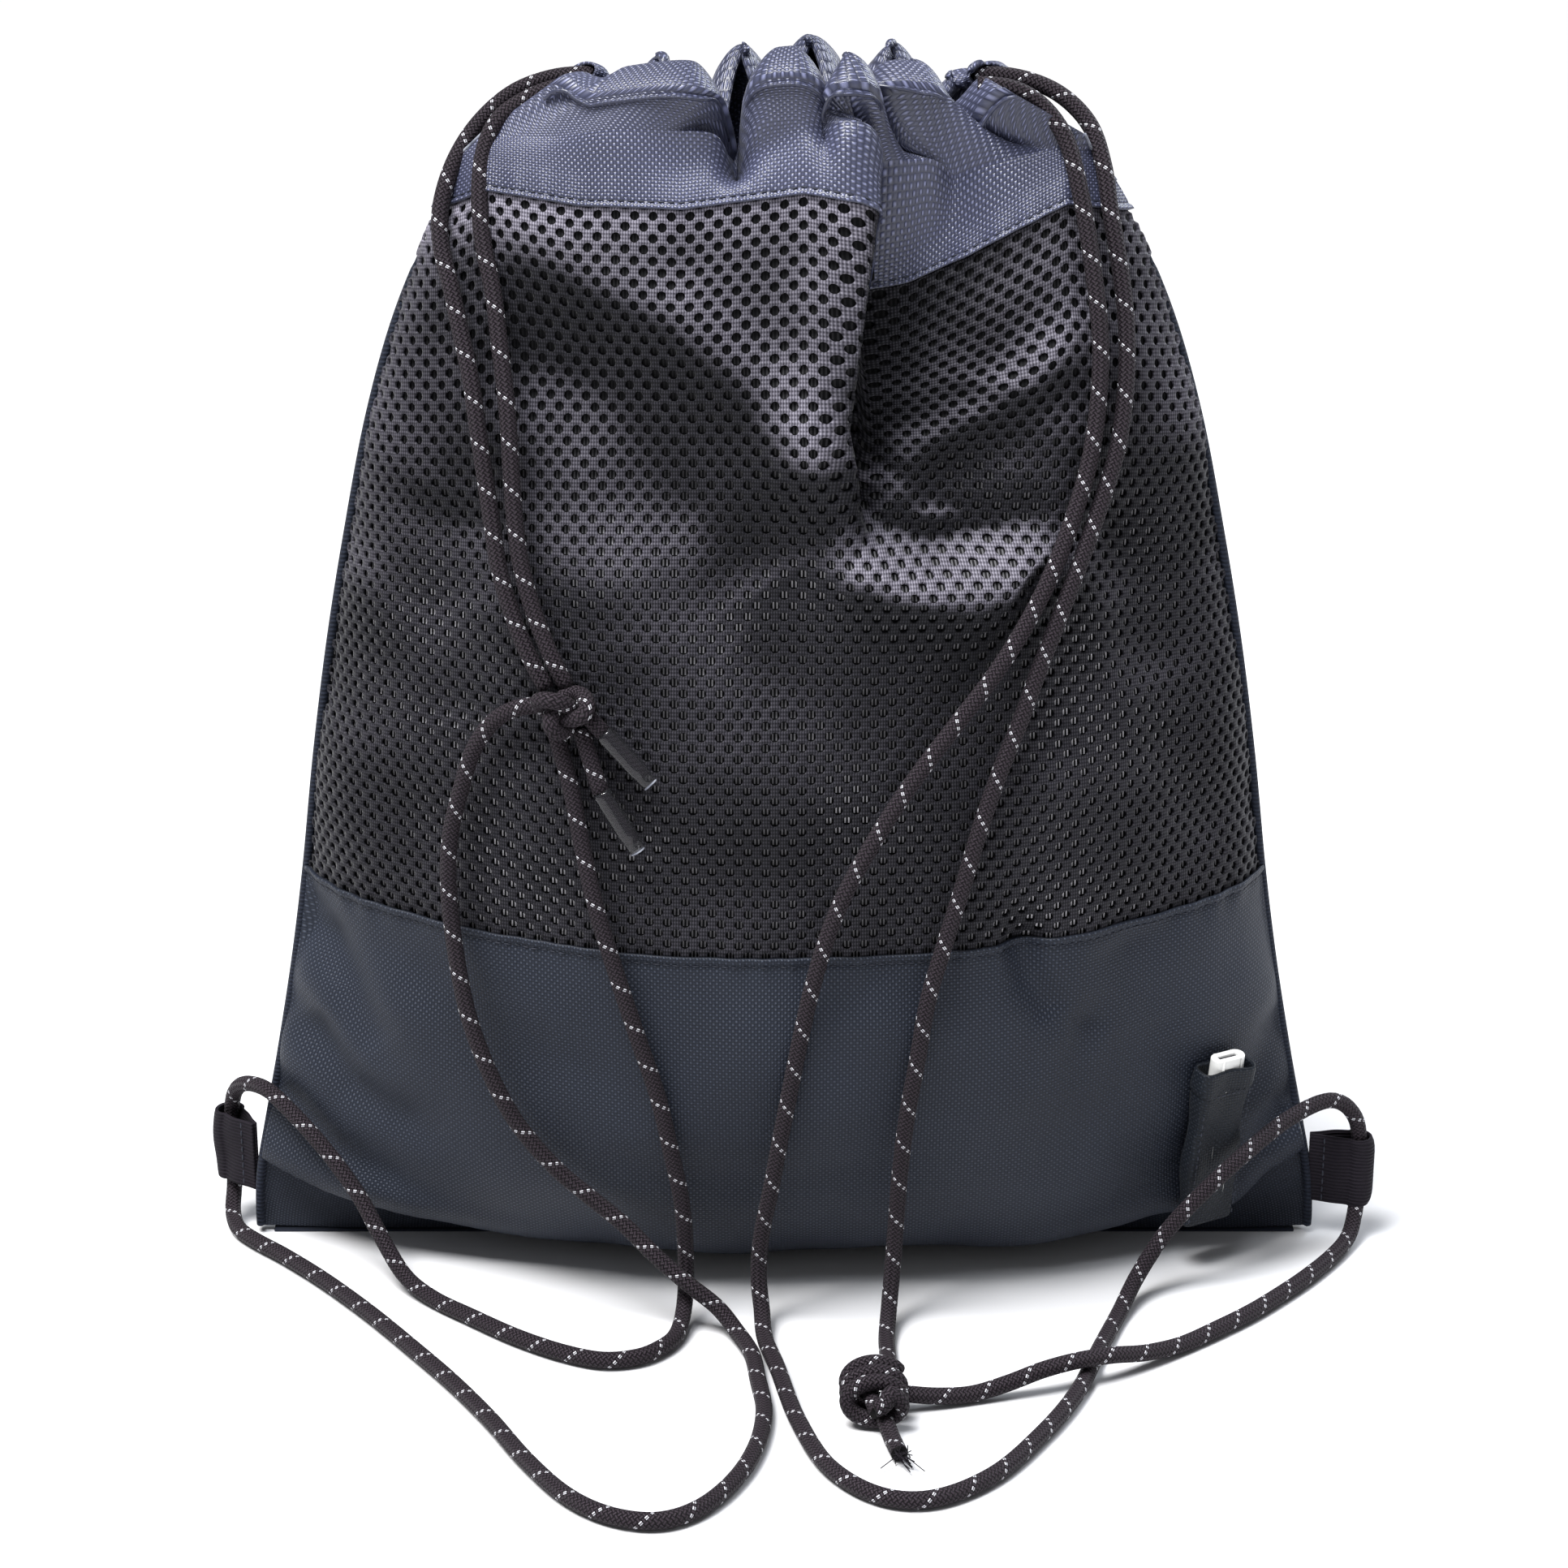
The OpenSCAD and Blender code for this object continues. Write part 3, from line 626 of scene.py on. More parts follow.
# Folds pressed into the cloth: line in x and z, half width, height at its start and at its end.
frontFolds = [
    ([(0.022, 0.290), (0.020, 0.268), (0.028, 0.256), (0.046, 0.250), (0.070, 0.256)], 0.008, -0.008, -0.009),
    ([(0.018, 0.244), (0.032, 0.236), (0.056, 0.232), (0.084, 0.240)], 0.009, 0.0055, 0.0055),
    ([(0.064, 0.300), (0.052, 0.276), (0.050, 0.258)], 0.012, -0.003, -0.006),
    ([(0.036, 0.272), (0.056, 0.288), (0.084, 0.306)], 0.008, 0.003, 0.0035),
    ([(-0.016, 0.395), (-0.015, 0.382), (-0.017, 0.368)], 0.006, -0.020, -0.005),
    ([(-0.020, 0.362), (-0.040, 0.368), (-0.060, 0.372)], 0.008, -0.003, -0.001),
    ([(-0.016, 0.360), (0.004, 0.366), (0.022, 0.374)], 0.006, -0.004, -0.003),
    ([(-0.084, 0.332), (-0.030, 0.316), (-0.004, 0.292), (0.010, 0.268)], 0.011, 0.002, 0.005),
    ([(-0.090, 0.308), (-0.050, 0.290), (-0.020, 0.264), (-0.004, 0.240)], 0.020, -0.0055, -0.004),
    ([(0.100, 0.262), (0.112, 0.232), (0.116, 0.200)], 0.015, -0.004, -0.002),
    ([(-0.098, 0.262), (-0.104, 0.228), (-0.100, 0.190)], 0.013, -0.0045, -0.003),
    ([(-0.014, 0.222), (0.020, 0.200), (0.070, 0.194), (0.100, 0.206)], 0.020, -0.0035, -0.002),
    ([(-0.060, 0.160), (-0.020, 0.150), (0.030, 0.156)], 0.018, -0.002, -0.002),
    ([(0.118, 0.190), (0.126, 0.168), (0.140, 0.150)], 0.010, -0.003, -0.002),
    ([(0.073, 0.130), (0.076, 0.114), (0.084, 0.100)], 0.006, -0.0075, -0.003),
    ([(0.096, 0.100), (0.092, 0.088), (0.091, 0.074)], 0.0055, -0.0040, -0.0012),
    ([(0.108, 0.126), (0.118, 0.104), (0.124, 0.086)], 0.012, -0.0035, -0.002),
    ([(0.022, 0.106), (0.052, 0.094), (0.078, 0.070)], 0.014, 0.002, 0.002),
    ([(-0.152, 0.118), (-0.140, 0.096), (-0.128, 0.080)], 0.008, -0.0065, -0.003),
    ([(-0.156, 0.084), (-0.140, 0.064), (-0.116, 0.054)], 0.007, -0.0065, -0.003),
    ([(-0.164, 0.056), (-0.148, 0.040), (-0.120, 0.030)], 0.007, -0.0035, -0.002),
    ([(-0.120, 0.112), (-0.086, 0.090), (-0.040, 0.084)], 0.014, -0.0025, -0.0015),
    ([(0.162, 0.084), (0.152, 0.062), (0.130, 0.040)], 0.007, -0.0035, -0.0015),
    ([(0.166, 0.050), (0.156, 0.034)], 0.005, -0.003, -0.002),
    ([(-0.060, 0.052), (-0.020, 0.046), (0.030, 0.050)], 0.010, -0.0018, -0.0018),
]
backFolds = [
    ([(-0.030, 0.395), (-0.026, 0.340), (-0.012, 0.290)], 0.008, -0.014, -0.003),
    ([(0.020, 0.395), (0.024, 0.350), (0.040, 0.300)], 0.007, -0.012, -0.002),
    ([(-0.080, 0.300), (-0.060, 0.240), (-0.020, 0.210)], 0.016, -0.004, -0.003),
    ([(0.090, 0.280), (0.060, 0.230), (0.010, 0.200)], 0.018, -0.005, -0.003),
    ([(-0.120, 0.180), (-0.070, 0.160), (0.000, 0.168)], 0.016, -0.003, -0.002),
    ([(0.130, 0.150), (0.080, 0.120), (0.020, 0.118)], 0.014, -0.003, -0.002),
    ([(-0.150, 0.080), (-0.110, 0.060), (-0.060, 0.052)], 0.010, -0.0025, -0.001),
    ([(0.158, 0.070), (0.120, 0.050), (0.060, 0.042)], 0.010, -0.0025, -0.001),
]
# Gathers of the drawn mouth: place along x, half width, lift of the rim, push outwards.
frontGathers = [
    (-0.040, 0.022, 0.003, 0.006), (-0.0145, 0.0042, -0.024, -0.013),
    (-0.0005, 0.0095, 0.005, 0.006), (0.0120, 0.0028, -0.004, -0.004), (0.0180, 0.0042, 0.002, 0.002),
    (0.0255, 0.0032, -0.010, -0.008), (0.0385, 0.0105, 0.008, 0.009), (0.054, 0.005, -0.002, -0.003),
]
backGathers = [
    (-0.058, 0.006, 0.001, 0.002), (-0.047, 0.0045, -0.005, -0.006), (-0.036, 0.007, 0.003, 0.004),
    (-0.024, 0.004, -0.006, -0.007), (-0.013, 0.006, 0.002, 0.003), (-0.003, 0.004, -0.007, -0.007),
    (0.009, 0.007, 0.004, 0.004), (0.021, 0.004, -0.006, -0.007), (0.032, 0.006, 0.003, 0.004),
    (0.044, 0.0045, -0.005, -0.006), (0.056, 0.006, 0.001, 0.002),
]

cordTree = kdtree.KDTree(sum(len(line) for line in cordLines.values()))
index = 0
for line in cordLines.values():
    for p in line:
        cordTree.insert(p, index)
        index += 1
cordTree.balance()


# Front only: one big fold laps over to the right, so the cloth left of its line overhangs the rest.
lapSettings = {
    "line": [(0.252, 0.026), (0.285, 0.019), (0.322, 0.0235), (0.350, 0.027), (0.395, 0.026)],  # height, x
    "fromHeight": 0.246, "fade": 0.030, "recess": 0.0150, "back": 0.058, "crown": 0.0075, "lean": 0.0042,
    "spread": 0.0046,
    "seamShift": [  # x, change in height of the upper seam
        (-0.104, 0.006), (-0.087, 0.010), (-0.060, 0.003), (-0.030, 0.0), (0.006, 0.004), (0.020, 0.001),
        (0.0262, -0.003), (0.0278, -0.023), (0.040, -0.0195), (0.057, -0.011), (0.084, 0.006),
        (0.104, 0.006),
    ],
}


# Front only: near its corners the filled cloth folds under, below a line given as x and height.
tuckSettings = {
    "line": [(-0.176, 0.031), (-0.150, 0.022), (-0.112, 0.014), (-0.060, 0.003), (0.050, 0.001),
             (0.090, 0.010), (0.120, 0.016), (0.148, 0.016), (0.158, 0.027), (0.176, 0.036)],
    "depth": 0.0100, "soft": 0.006, "crown": 0.0030, "crownAt": 0.005, "crownHalf": 0.007, "fullFrom": 0.010,
}


def tuckUnder(x, z, s):  # push straight out
    places, heights = zip(*s["line"])
    line = np.interp(x, places, heights)
    held = smooth(line / s["fullFrom"])
    crown = np.exp(-(((z - line - s["crownAt"]) / s["crownHalf"]) ** 2))
    return held * (s["crown"] * crown - s["depth"] * smooth((line - z) / s["soft"]))


def bump(x, place, half):  # 1 at its place, falling off on both sides
    return np.exp(-(((x - place) / half) ** 2))


def lapOver(x, z, s):  # push along the normal, sideways shift
    heights, places = zip(*s["line"])
    beside = x - np.interp(z, heights, places)
    strength = smooth((z - s["fromHeight"]) / s["fade"])
    behind = smooth(beside / 0.004 + 0.5) * (1 - smooth((beside - 0.006) / s["back"]))
    crown = bump(beside, -0.009, 0.011) * (beside < 0.001)
    push = strength * (s["crown"] * crown - s["recess"] * behind)
    over = bump(beside, -0.003, s["spread"]) - bump(beside, 0.003, s["spread"])
    return push, s["lean"] * over * strength


def detailedForm(side, folds, gathers, s):
    v = np.linspace(0, s["rim"], s["rows"])[:, None] * np.ones((1, s["columns"]))
    a = np.linspace(-1, 1, s["columns"])[None] * np.ones((s["rows"], 1))
    points = plainForm(a, v, side)
    normals = formNormals(points, side)
    x, z = points[..., 0], points[..., 2]
    inside = np.clip(1 - np.abs(a), 0, 1)
    press = np.zeros(x.shape)
    for path, width, first, last in folds:
        gap, along = nearFold(x, z, path)
        fade = smooth(np.minimum(along + 0.15, 1.15 - along) / 0.3)
        press += (first + (last - first) * along) * np.exp(-((gap / width) ** 2)) * fade
    wave = np.zeros(x.shape)
    for i in range(0, s["rows"], 3):  # soft uneven creasing, finer towards the seams
        for j in range(0, s["columns"], 3):
            p = Vector(points[i, j])
            n = noise.noise(p * 16 + Vector((0, 0, s["seed"]))) * 0.0030
            n += noise.noise(p * 31) * 0.0016 + noise.noise(p * 60) * 0.0005
            wave[i : i + 3, j : j + 3] = n
    for _ in range(3):
        upDown = wave[1:-1, 1:-1] + wave[:-2, 1:-1] + wave[2:, 1:-1]
        wave[1:-1, 1:-1] = (upDown + wave[1:-1, :-2] + wave[1:-1, 2:]) / 5
    pucker = np.exp(-((v - s["topSeam"]) / 0.25) ** 2) + np.exp(-((v - s["baseSeam"]) / 0.15) ** 2)
    press += wave + 0.0004 * np.sin(x * 520 + 3 * np.sin(x * 90)) * pucker
    gathered = smooth((v - 12.0) / 1.5)
    lift = np.zeros(x.shape)
    for place, width, rise, push in gathers:
        shape = np.exp(-(np.abs((x - place) / width) ** (2 if rise < 0 else 3.6)))
        lift += rise * shape * gathered
        press += push * shape * gathered
    aside = np.zeros(x.shape)
    if side < 0:
        push, aside = lapOver(x, z, lapSettings)
        press += push
        places, shifts = zip(*lapSettings["seamShift"])
        seamFade = smooth((v - 9.2) / 2.6) * smooth((13.5 - v) / 1.3)
        lift += np.interp(x, places, shifts) * seamFade
    press *= smooth(inside / 0.06)
    room = np.full(x.shape, 1.0)
    for i in range(0, s["rows"], 2):
        for j in range(0, s["columns"], 2):
            near = cordTree.find(points[i, j])[2]
            room[i : i + 2, j : j + 2] = near - s["cordRoom"]
    press = np.minimum(press, np.maximum(room, -0.004))
    points = points + normals * press[..., None]
    points[..., 0] += aside
    if side < 0:
        points[..., 1] -= tuckUnder(x, z, tuckSettings) * smooth(inside / 0.06)
    points[..., 2] += lift
    points[..., 2] = np.maximum(points[..., 2], 0.0006)
    points[..., 1] = side * np.maximum(side * points[..., 1], 0.0004 + 0.00002 * v)
    return points


def arcTable(points):  # distance from the middle line to each grid point, along its row
    gaps = np.linalg.norm(np.diff(points, axis=1), axis=2)
    total = np.c_[np.zeros(len(points)), np.cumsum(gaps, axis=1)]
    return total - total[:, [points.shape[1] // 2]]


forms = {}
for side, folds, gathers in ((-1, frontFolds, frontGathers), (1, backFolds, backGathers)):
    points = detailedForm(side, folds, gathers, formSettings)
    v = np.linspace(0, formSettings["rim"], formSettings["rows"])[:, None]
    a = np.linspace(-1, 1, formSettings["columns"])[None]
    plain = plainForm(a * np.ones_like(v), v * np.ones_like(a), side)
    middle = formSettings["columns"] // 2
    rise = np.r_[0, np.cumsum(np.linalg.norm(np.diff(plain[:, middle], axis=0), axis=1))]
    normals, plainNormals = formNormals(points, side), formNormals(plain, side)
    forms[side] = {
        "points": points, "normals": normals, "arc": arcTable(plain), "rise": rise,
        "raised": ((points - plain) * plainNormals).sum(-1),  # how far the folds stand out
        "tilted": normals[..., 2] - plainNormals[..., 2],  # how much more they face upwards
    }
print("bag form ready")


def gridSample(table, a, v):
    i = np.clip(v / formSettings["rim"], 0, 1) * (formSettings["rows"] - 1)
    j = (np.clip(a, -1, 1) + 1) / 2 * (formSettings["columns"] - 1)
    i0 = np.minimum(i.astype(int), formSettings["rows"] - 2)
    j0 = np.minimum(j.astype(int), formSettings["columns"] - 2)
    fi, fj = i - i0, j - j0
    if table.ndim == 3:
        fi, fj = fi[..., None], fj[..., None]
    low = table[i0, j0] * (1 - fj) + table[i0, j0 + 1] * fj
    high = table[i0 + 1, j0] * (1 - fj) + table[i0 + 1, j0 + 1] * fj
    return low * (1 - fi) + high * fi


def onBag(side, a, v, off=0.0):  # points of the finished form, moved out along its normal
    a, v = np.broadcast_arrays(np.asarray(a, float), np.asarray(v, float))
    points = gridSample(forms[side]["points"], a, v)
    normals = gridSample(forms[side]["normals"], a, v)
    normals /= np.linalg.norm(normals, axis=-1, keepdims=True) + 1e-9
    out = points + normals * np.asarray(off)[..., None]
    out[..., 1] = side * np.maximum(side * out[..., 1], 0.0002)
    out[..., 2] = np.maximum(out[..., 2], 0.0002)
    return out


def flatPlace(side, a, v):  # where a point of the form lies on the flat cloth, in metres
    across = gridSample(forms[side]["arc"], a, v)
    up = np.interp(v, np.linspace(0, formSettings["rim"], formSettings["rows"]), forms[side]["rise"])
    return across, up


def seamLine(side, flatAcross, v):  # a for a distance from the middle line, on the row at v
    row = int(round(v / formSettings["rim"] * (formSettings["rows"] - 1)))
    return np.interp(flatAcross, forms[side]["arc"][row], np.linspace(-1, 1, formSettings["columns"]))


def bendWithCollar(piece):
    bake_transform(piece)


def makeGrid(name, side, aRow, vRow, offAt, material, thickness):
    bm = bmesh.new()
    columns, rows = len(aRow), len(vRow)
    verts = bmesh.ops.create_grid(bm, x_segments=columns - 1, y_segments=rows - 1, size=1)["verts"]
    x = np.array([v.co.x for v in verts])
    y = np.array([v.co.y for v in verts])
    j = np.rint((x + 1) / 2 * (columns - 1)).astype(int)
    i = np.rint((y + 1) / 2 * (rows - 1)).astype(int)
    a, v = np.array(aRow)[j], np.array(vRow)[i]
    places = onBag(side, a, v, offAt(a, v))
    flat = np.stack(flatPlace(side, a, v), -1)
    for vert, p in zip(verts, places):
        vert.co = p
    order = {vert: k for k, vert in enumerate(verts)}
    uvLayer = uvLayerOf(bm)
    for face in bm.faces:
        for loop in face.loops:
            loop[uvLayer].uv = flat[order[loop.vert]]
    if side > 0:
        bmesh.ops.reverse_faces(bm, faces=bm.faces)
    piece = linkMesh(name, bm, material)
    if thickness:
        addModifier(piece, "SOLIDIFY", thickness=thickness, offset=-1.0, use_even_offset=False)
    return piece


def evenRows(low, high, count):
    return list(np.linspace(low, high, count))


def lipOff(edge, widthV, up):  # a folded edge: proud at the fold, dipping in along the stitch row
    def off(a, v):
        d = (edge - v) * up  # how far inside the edge, in stations
        lip = 0.0007 * smooth(1 - (d - 0.03) / 0.05)
        dip = -0.00025 * np.exp(-(((d - widthV) / 0.015) ** 2))
        return 0.0003 + lip + dip
    return off


def plainOff(a, v):
    return 0.0003 + 0 * a


bandSettings = {"columns": 180, "thickness": 0.0009, "stitchFromEdge": 0.075}
seam = formSettings["baseSeam"]
lapAt = (0.10, 0.24)  # share of the width where the big fold lies


def denserRow(low, high, count, extra):  # even columns, with more of them across the big fold
    return sorted(evenRows(low, high, count) + evenRows(*lapAt, extra))


aFull = denserRow(-0.992, 0.992, bandSettings["columns"], 60)
edgeRows = evenRows(seam - 0.2, seam + 0.04, 14)
thickness = bandSettings["thickness"]
frontBaseBand = makeGrid("frontBaseBand", -1, aFull, evenRows(0.0, seam - 0.24, 100) + edgeRows,
                         lipOff(seam + 0.04, bandSettings["stitchFromEdge"], 1), oxford, thickness)
backBaseBand = makeGrid("backBaseBand", 1, aFull, evenRows(0.0, seam, 90), plainOff, oxford, thickness)
for piece, node in ((frontBaseBand, "front_base_band"), (backBaseBand, "back_base_band")):
    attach(piece, "bag")
    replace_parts(piece, node)
backRows = evenRows(seam, formSettings["topSeam"], 110)
backPanel = makeGrid("backPanel", 1, aFull, backRows, plainOff, oxford, thickness)
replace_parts(backPanel, "back_panel")
bendWithCollar(backPanel)
print("base bands and back panel ready")

topSettings = {
    "columns": 230, "rows": 56, "thickness": 0.0009, "widestA": 0.97, "mouthA": 0.56, "lap": (0.10, 0.36),
    "section": [  # channel's section about its middle: outwards, upwards
        (0.0019, -0.0075), (0.0026, -0.0045), (0.0028, -0.0010), (0.0026, 0.0025), (0.0017, 0.0052),
        (0.0, 0.0064), (-0.0017, 0.0052), (-0.0026, 0.0025), (-0.0030, -0.0010), (-0.0029, -0.0050),
        (-0.0020, -0.0085), (-0.0014, -0.0120),
    ],
    "clothTo": 12.9, "bendFrom": 12.3, "narrowSpan": 1.4,  # stations, as v
    "looseBy": 0.0014, "looseSpan": 0.6,  # the cloth stands off a little below the channel
    "openFrom": 0.80, "openSpan": 0.19, "openBy": 0.35,
    "exitShift": 0.0045, "exitFrom": 12.7, "exitSpan": 0.5,
}
mouthExits = {  # end of the mouth and side of the bag: the cord that leaves there
    (-1, -1): leftFrontRoute, (1, -1): rightFrontRoute, (-1, 1): leftBackRoute, (1, 1): rightBackRoute,
}


def makeTopBand(name, side, s):
    section = curvePoints([(p[0], p[1], 0) for p in s["section"]], 5)[:, :2]
    low = formSettings["topSeam"] - 0.05
    cloth = np.linspace(low, s["clothTo"], s["rows"])
    columns = np.array(denserRow(-1, 1, s["columns"], 0) + list(np.linspace(*s["lap"], 90)))
    columns.sort()
    bm = bmesh.new()
    rows = len(cloth) + len(section)
    verts = bmesh.ops.create_grid(bm, x_segments=len(columns) - 1, y_segments=rows - 1, size=1)["verts"]
    j = np.rint((np.array([v.co.x for v in verts]) + 1) / 2 * (len(columns) - 1)).astype(int)
    i = np.rint((np.array([v.co.y for v in verts]) + 1) / 2 * (rows - 1)).astype(int)
    onCloth = i < len(cloth)
    v = np.where(onCloth, cloth[np.minimum(i, len(cloth) - 1)], formSettings["rim"])
    narrow = smooth((v - s["bendFrom"]) / s["narrowSpan"])
    a = columns[j] * (s["widestA"] + (s["mouthA"] - s["widestA"]) * narrow)
    off = lipOff(low, bandSettings["stitchFromEdge"], -1)(a, v)
    off = off + s["looseBy"] * smooth((v - s["bendFrom"]) / s["looseSpan"])
    places = onBag(side, a, v, off)
    k = np.clip(i - len(cloth), 0, len(section) - 1)
    rimPlace = onBag(side, a, np.full(len(a), formSettings["rim"]), -0.001)
    out = gridSample(forms[side]["normals"], a, np.full(len(a), formSettings["rim"]))
    out /= np.linalg.norm(out, axis=-1, keepdims=True)
    below = gridSample(forms[side]["points"], a, np.full(len(a), formSettings["rim"] - 0.12))
    rise = rimPlace - below
    rise /= np.linalg.norm(rise, axis=-1, keepdims=True)
    toEnd = smooth((np.abs(columns[j]) - s["openFrom"]) / s["openSpan"])
    ends = 1 + s["openBy"] * toEnd  # the channel opens a little round the cords at its ends
    for sign in (-1, 1):  # and comes to where the cords leave it
        last = np.nonzero((columns[j] * sign > 0.9999) & (i == rows - 1))[0][0]
        exitPlace = np.array(mouthExits[sign, side][0]) + (sign * s["exitShift"], 0, 0)
        weight = toEnd * (columns[j] * sign > 0)
        moved = (exitPlace - rimPlace[last])[None] * weight[:, None]
        places = places + moved * smooth((v - s["exitFrom"]) / s["exitSpan"])[:, None]
        rimPlace = rimPlace + moved
    channel = rimPlace + out * (section[k, 0] * ends)[:, None] + rise * section[k, 1][:, None]
    places = np.where(onCloth[:, None], places, channel)
    places[:, 1] = side * np.maximum(side * places[:, 1], 0.0003)
    across, up = flatPlace(side, a, v)
    up = up + np.where(onCloth, 0, 0.003 * (i - len(cloth)) / 5)
    order = {vert: n for n, vert in enumerate(verts)}
    for vert, p in zip(verts, places):
        vert.co = p
    inChannel = [verts[n] for n in np.nonzero(v > s["clothTo"])[0]]
    bmesh.ops.smooth_vert(bm, verts=inChannel, factor=0.5, use_axis_x=True, use_axis_y=True, use_axis_z=True)
    uvLayer = uvLayerOf(bm)
    for face in bm.faces:
        for loop in face.loops:
            n = order[loop.vert]
            loop[uvLayer].uv = (across[n], up[n])
    if side > 0:
        bmesh.ops.reverse_faces(bm, faces=bm.faces)
    piece = linkMesh(name, bm, topOxford)
    addModifier(piece, "SOLIDIFY", thickness=s["thickness"], offset=-1.0)
    bendWithCollar(piece)
    for sign in (-1, 1):  # pale raw ends of the cloth along the slanted sides
        atEnd = np.nonzero((columns[j] * sign > 0.9999) & (v > s["bendFrom"]) & onCloth)[0]
        line = curvePoints([places[n] for n in atEnd], 2)
        edge = makeTube(name + ("Left" if sign < 0 else "Right") + "RawEnd", line, 0.0005, 6, rawThread)
        bendWithCollar(edge)
    return piece


frontTopBand = makeTopBand("frontTopBand", -1, topSettings)
backTopBand = makeTopBand("backTopBand", 1, topSettings)
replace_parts(frontTopBand, "front_top_band", "front_channel", "front_run_left_cord", "front_run_right_cord")
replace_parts(backTopBand, "back_top_band", "back_channel", "back_run_left_cord", "back_run_right_cord")
print("top bands ready")

meshSettings = {
    "holePitch": 0.0055, "rowPitch": 0.0033, "holeRadius": 0.00145, "wallDepth": 0.0010,
    "backDepth": 0.0014, "off": -0.0002, "lip": 0.00008, "flare": 1.02, "reach": 0.985,
}
# Painted highlight: the yarn is made paler where light would fall on it: on folds that stand out or face
# upwards, under the upper seam, and a little more towards the top.
paintedHighlightSettings = {
    "strip": 0.62, "stripHalf": 0.42, "stripTo": 0.026, "stripFade": 0.004, "strength": 1.3,
    "raised": 36, "sunk": 15, "tilted": 0.95,
    "lowShare": 0.22, "fullFrom": (7.6, 1.2), "paintedTopLight": 0.10, "paintedTopLightFrom": (7.5, 2.5), "soften": 0.002,
}


def paintedHighlightOf(a, v, x, s):  # 0 for the yarn's own dark colour, towards 1 for painted highlight
    strip = bump(v, formSettings["topSeam"], s["stripHalf"]) * smooth((s["stripTo"] - x) / s["stripFade"])
    raised, tilted = gridSample(forms[-1]["raised"], a, v), gridSample(forms[-1]["tilted"], a, v)
    folded = np.where(raised > 0, s["raised"], s["sunk"]) * raised + s["tilted"] * tilted
    low = s["lowShare"]
    share = low + (1 - low) * smooth((v - s["fullFrom"][0]) / s["fullFrom"][1])
    # painted light: the yarn made paler towards the top
    paintedTopLight = s["paintedTopLight"] * smooth((v - s["paintedTopLightFrom"][0]) / s["paintedTopLightFrom"][1])
    paintedHighlight = s["strip"] * strip + folded * share + paintedTopLight
    paintedHighlight = (paintedHighlight + np.sqrt(paintedHighlight**2 + s["soften"])) / 2  # a soft start instead of a hard edge
    return s["strength"] * paintedHighlight / (1 + paintedHighlight)


def makeMeshPanel(s):
    low, high = formSettings["baseSeam"] - 0.06, formSettings["topSeam"] + 0.06
    rowsV = np.linspace(0, formSettings["rim"], formSettings["rows"])
    rise = forms[-1]["rise"]
    bottom, top = np.interp([low, high], rowsV, rise)
    columnsA = np.linspace(-1, 1, formSettings["columns"])
    bm = bmesh.new()
    uvLayer = uvLayerOf(bm)
    half, third = s["holePitch"] / 2, s["rowPitch"] / 3
    corners = [(0, 2 * third), (half / 2, 1.5 * third), (half, third), (half, 0), (half, -third),
               (half / 2, -1.5 * third), (0, -2 * third), (-half / 2, -1.5 * third), (-half, -third),
               (-half, 0), (-half, third), (-half / 2, 1.5 * third)]
    turns = [k * math.pi / 6 for k in range(12)]
    ring = [(s["holeRadius"] * math.sin(turn), s["holeRadius"] * math.cos(turn)) for turn in turns]
    flat, depth, faces = [], [], []
    made = {}

    def corner(x, y):
        key = (round(x * 1e6 / 25), round(y * 1e6 / 25))
        if key not in made:
            made[key] = len(flat)
            flat.append((x, y))
            depth.append(0)
        return made[key]

    row = int(bottom / s["rowPitch"])
    while row * s["rowPitch"] < top:
        y = row * s["rowPitch"]
        reach = np.interp(np.interp(y, rise, rowsV), rowsV, forms[-1]["arc"][:, -1])
        shift = half if row % 2 else 0
        count = int(reach / s["holePitch"]) + 1
        for k in range(-count, count + 1):
            x = k * s["holePitch"] + shift
            if y < bottom or abs(x) > reach * s["reach"]:
                continue
            outer = [corner(x + cx, y + cy) for cx, cy in corners]
            first = len(flat)
            flat.extend((x + rx, y + ry) for rx, ry in ring)
            depth.extend([s["lip"]] * 12)
            flat.extend((x + rx * s["flare"], y + ry * s["flare"]) for rx, ry in ring)
            depth.extend([-s["wallDepth"]] * 12)
            faces.append((outer, first))
        row += 1
    flat = np.array(flat)
    v = np.interp(flat[:, 1], rise, rowsV)
    table = forms[-1]["arc"]  # the place across is found row by row in the table of arc lengths
    i = v / formSettings["rim"] * (formSettings["rows"] - 1)
    i0 = np.minimum(i.astype(int), formSettings["rows"] - 2)
    a = np.zeros(len(flat))
    for r in np.unique(i0):
        pick = i0 == r
        f = i[pick] - r
        lowA = np.interp(flat[pick, 0], table[r], columnsA)
        highA = np.interp(flat[pick, 0], table[r + 1], columnsA)
        a[pick] = lowA * (1 - f) + highA * f
    places = onBag(-1, a, v, s["off"] + np.array(depth))
    paintedHighlight = paintedHighlightOf(a, v, places[:, 0], paintedHighlightSettings)
    paintedHighlightLayer = bm.verts.layers.float.new("paintedHighlight")
    verts = [bm.verts.new(p) for p in places]
    for vert, amount in zip(verts, paintedHighlight):
        vert[paintedHighlightLayer] = amount
    for outer, first in faces:
        for k in range(12):
            n = (k + 1) % 12
            for quad in ((outer[k], first + k, first + n, outer[n]),
                         (first + k, first + 12 + k, first + 12 + n, first + n)):
                face = bm.faces.new([verts[q] for q in reversed(quad)])
                for loop, q in zip(face.loops, reversed(quad)):
                    loop[uvLayer].uv = flat[q]
    piece = linkMesh("frontMeshPanel", bm, meshKnit)
    print("mesh holes:", len(faces), "triangles:", len(piece.data.polygons) * 2)
    return piece


frontMeshPanel = makeMeshPanel(meshSettings)
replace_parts(frontMeshPanel, "front_mesh_panel")
bendWithCollar(frontMeshPanel)


def meshBackOff(a, v):
    return -meshSettings["backDepth"] + 0 * a


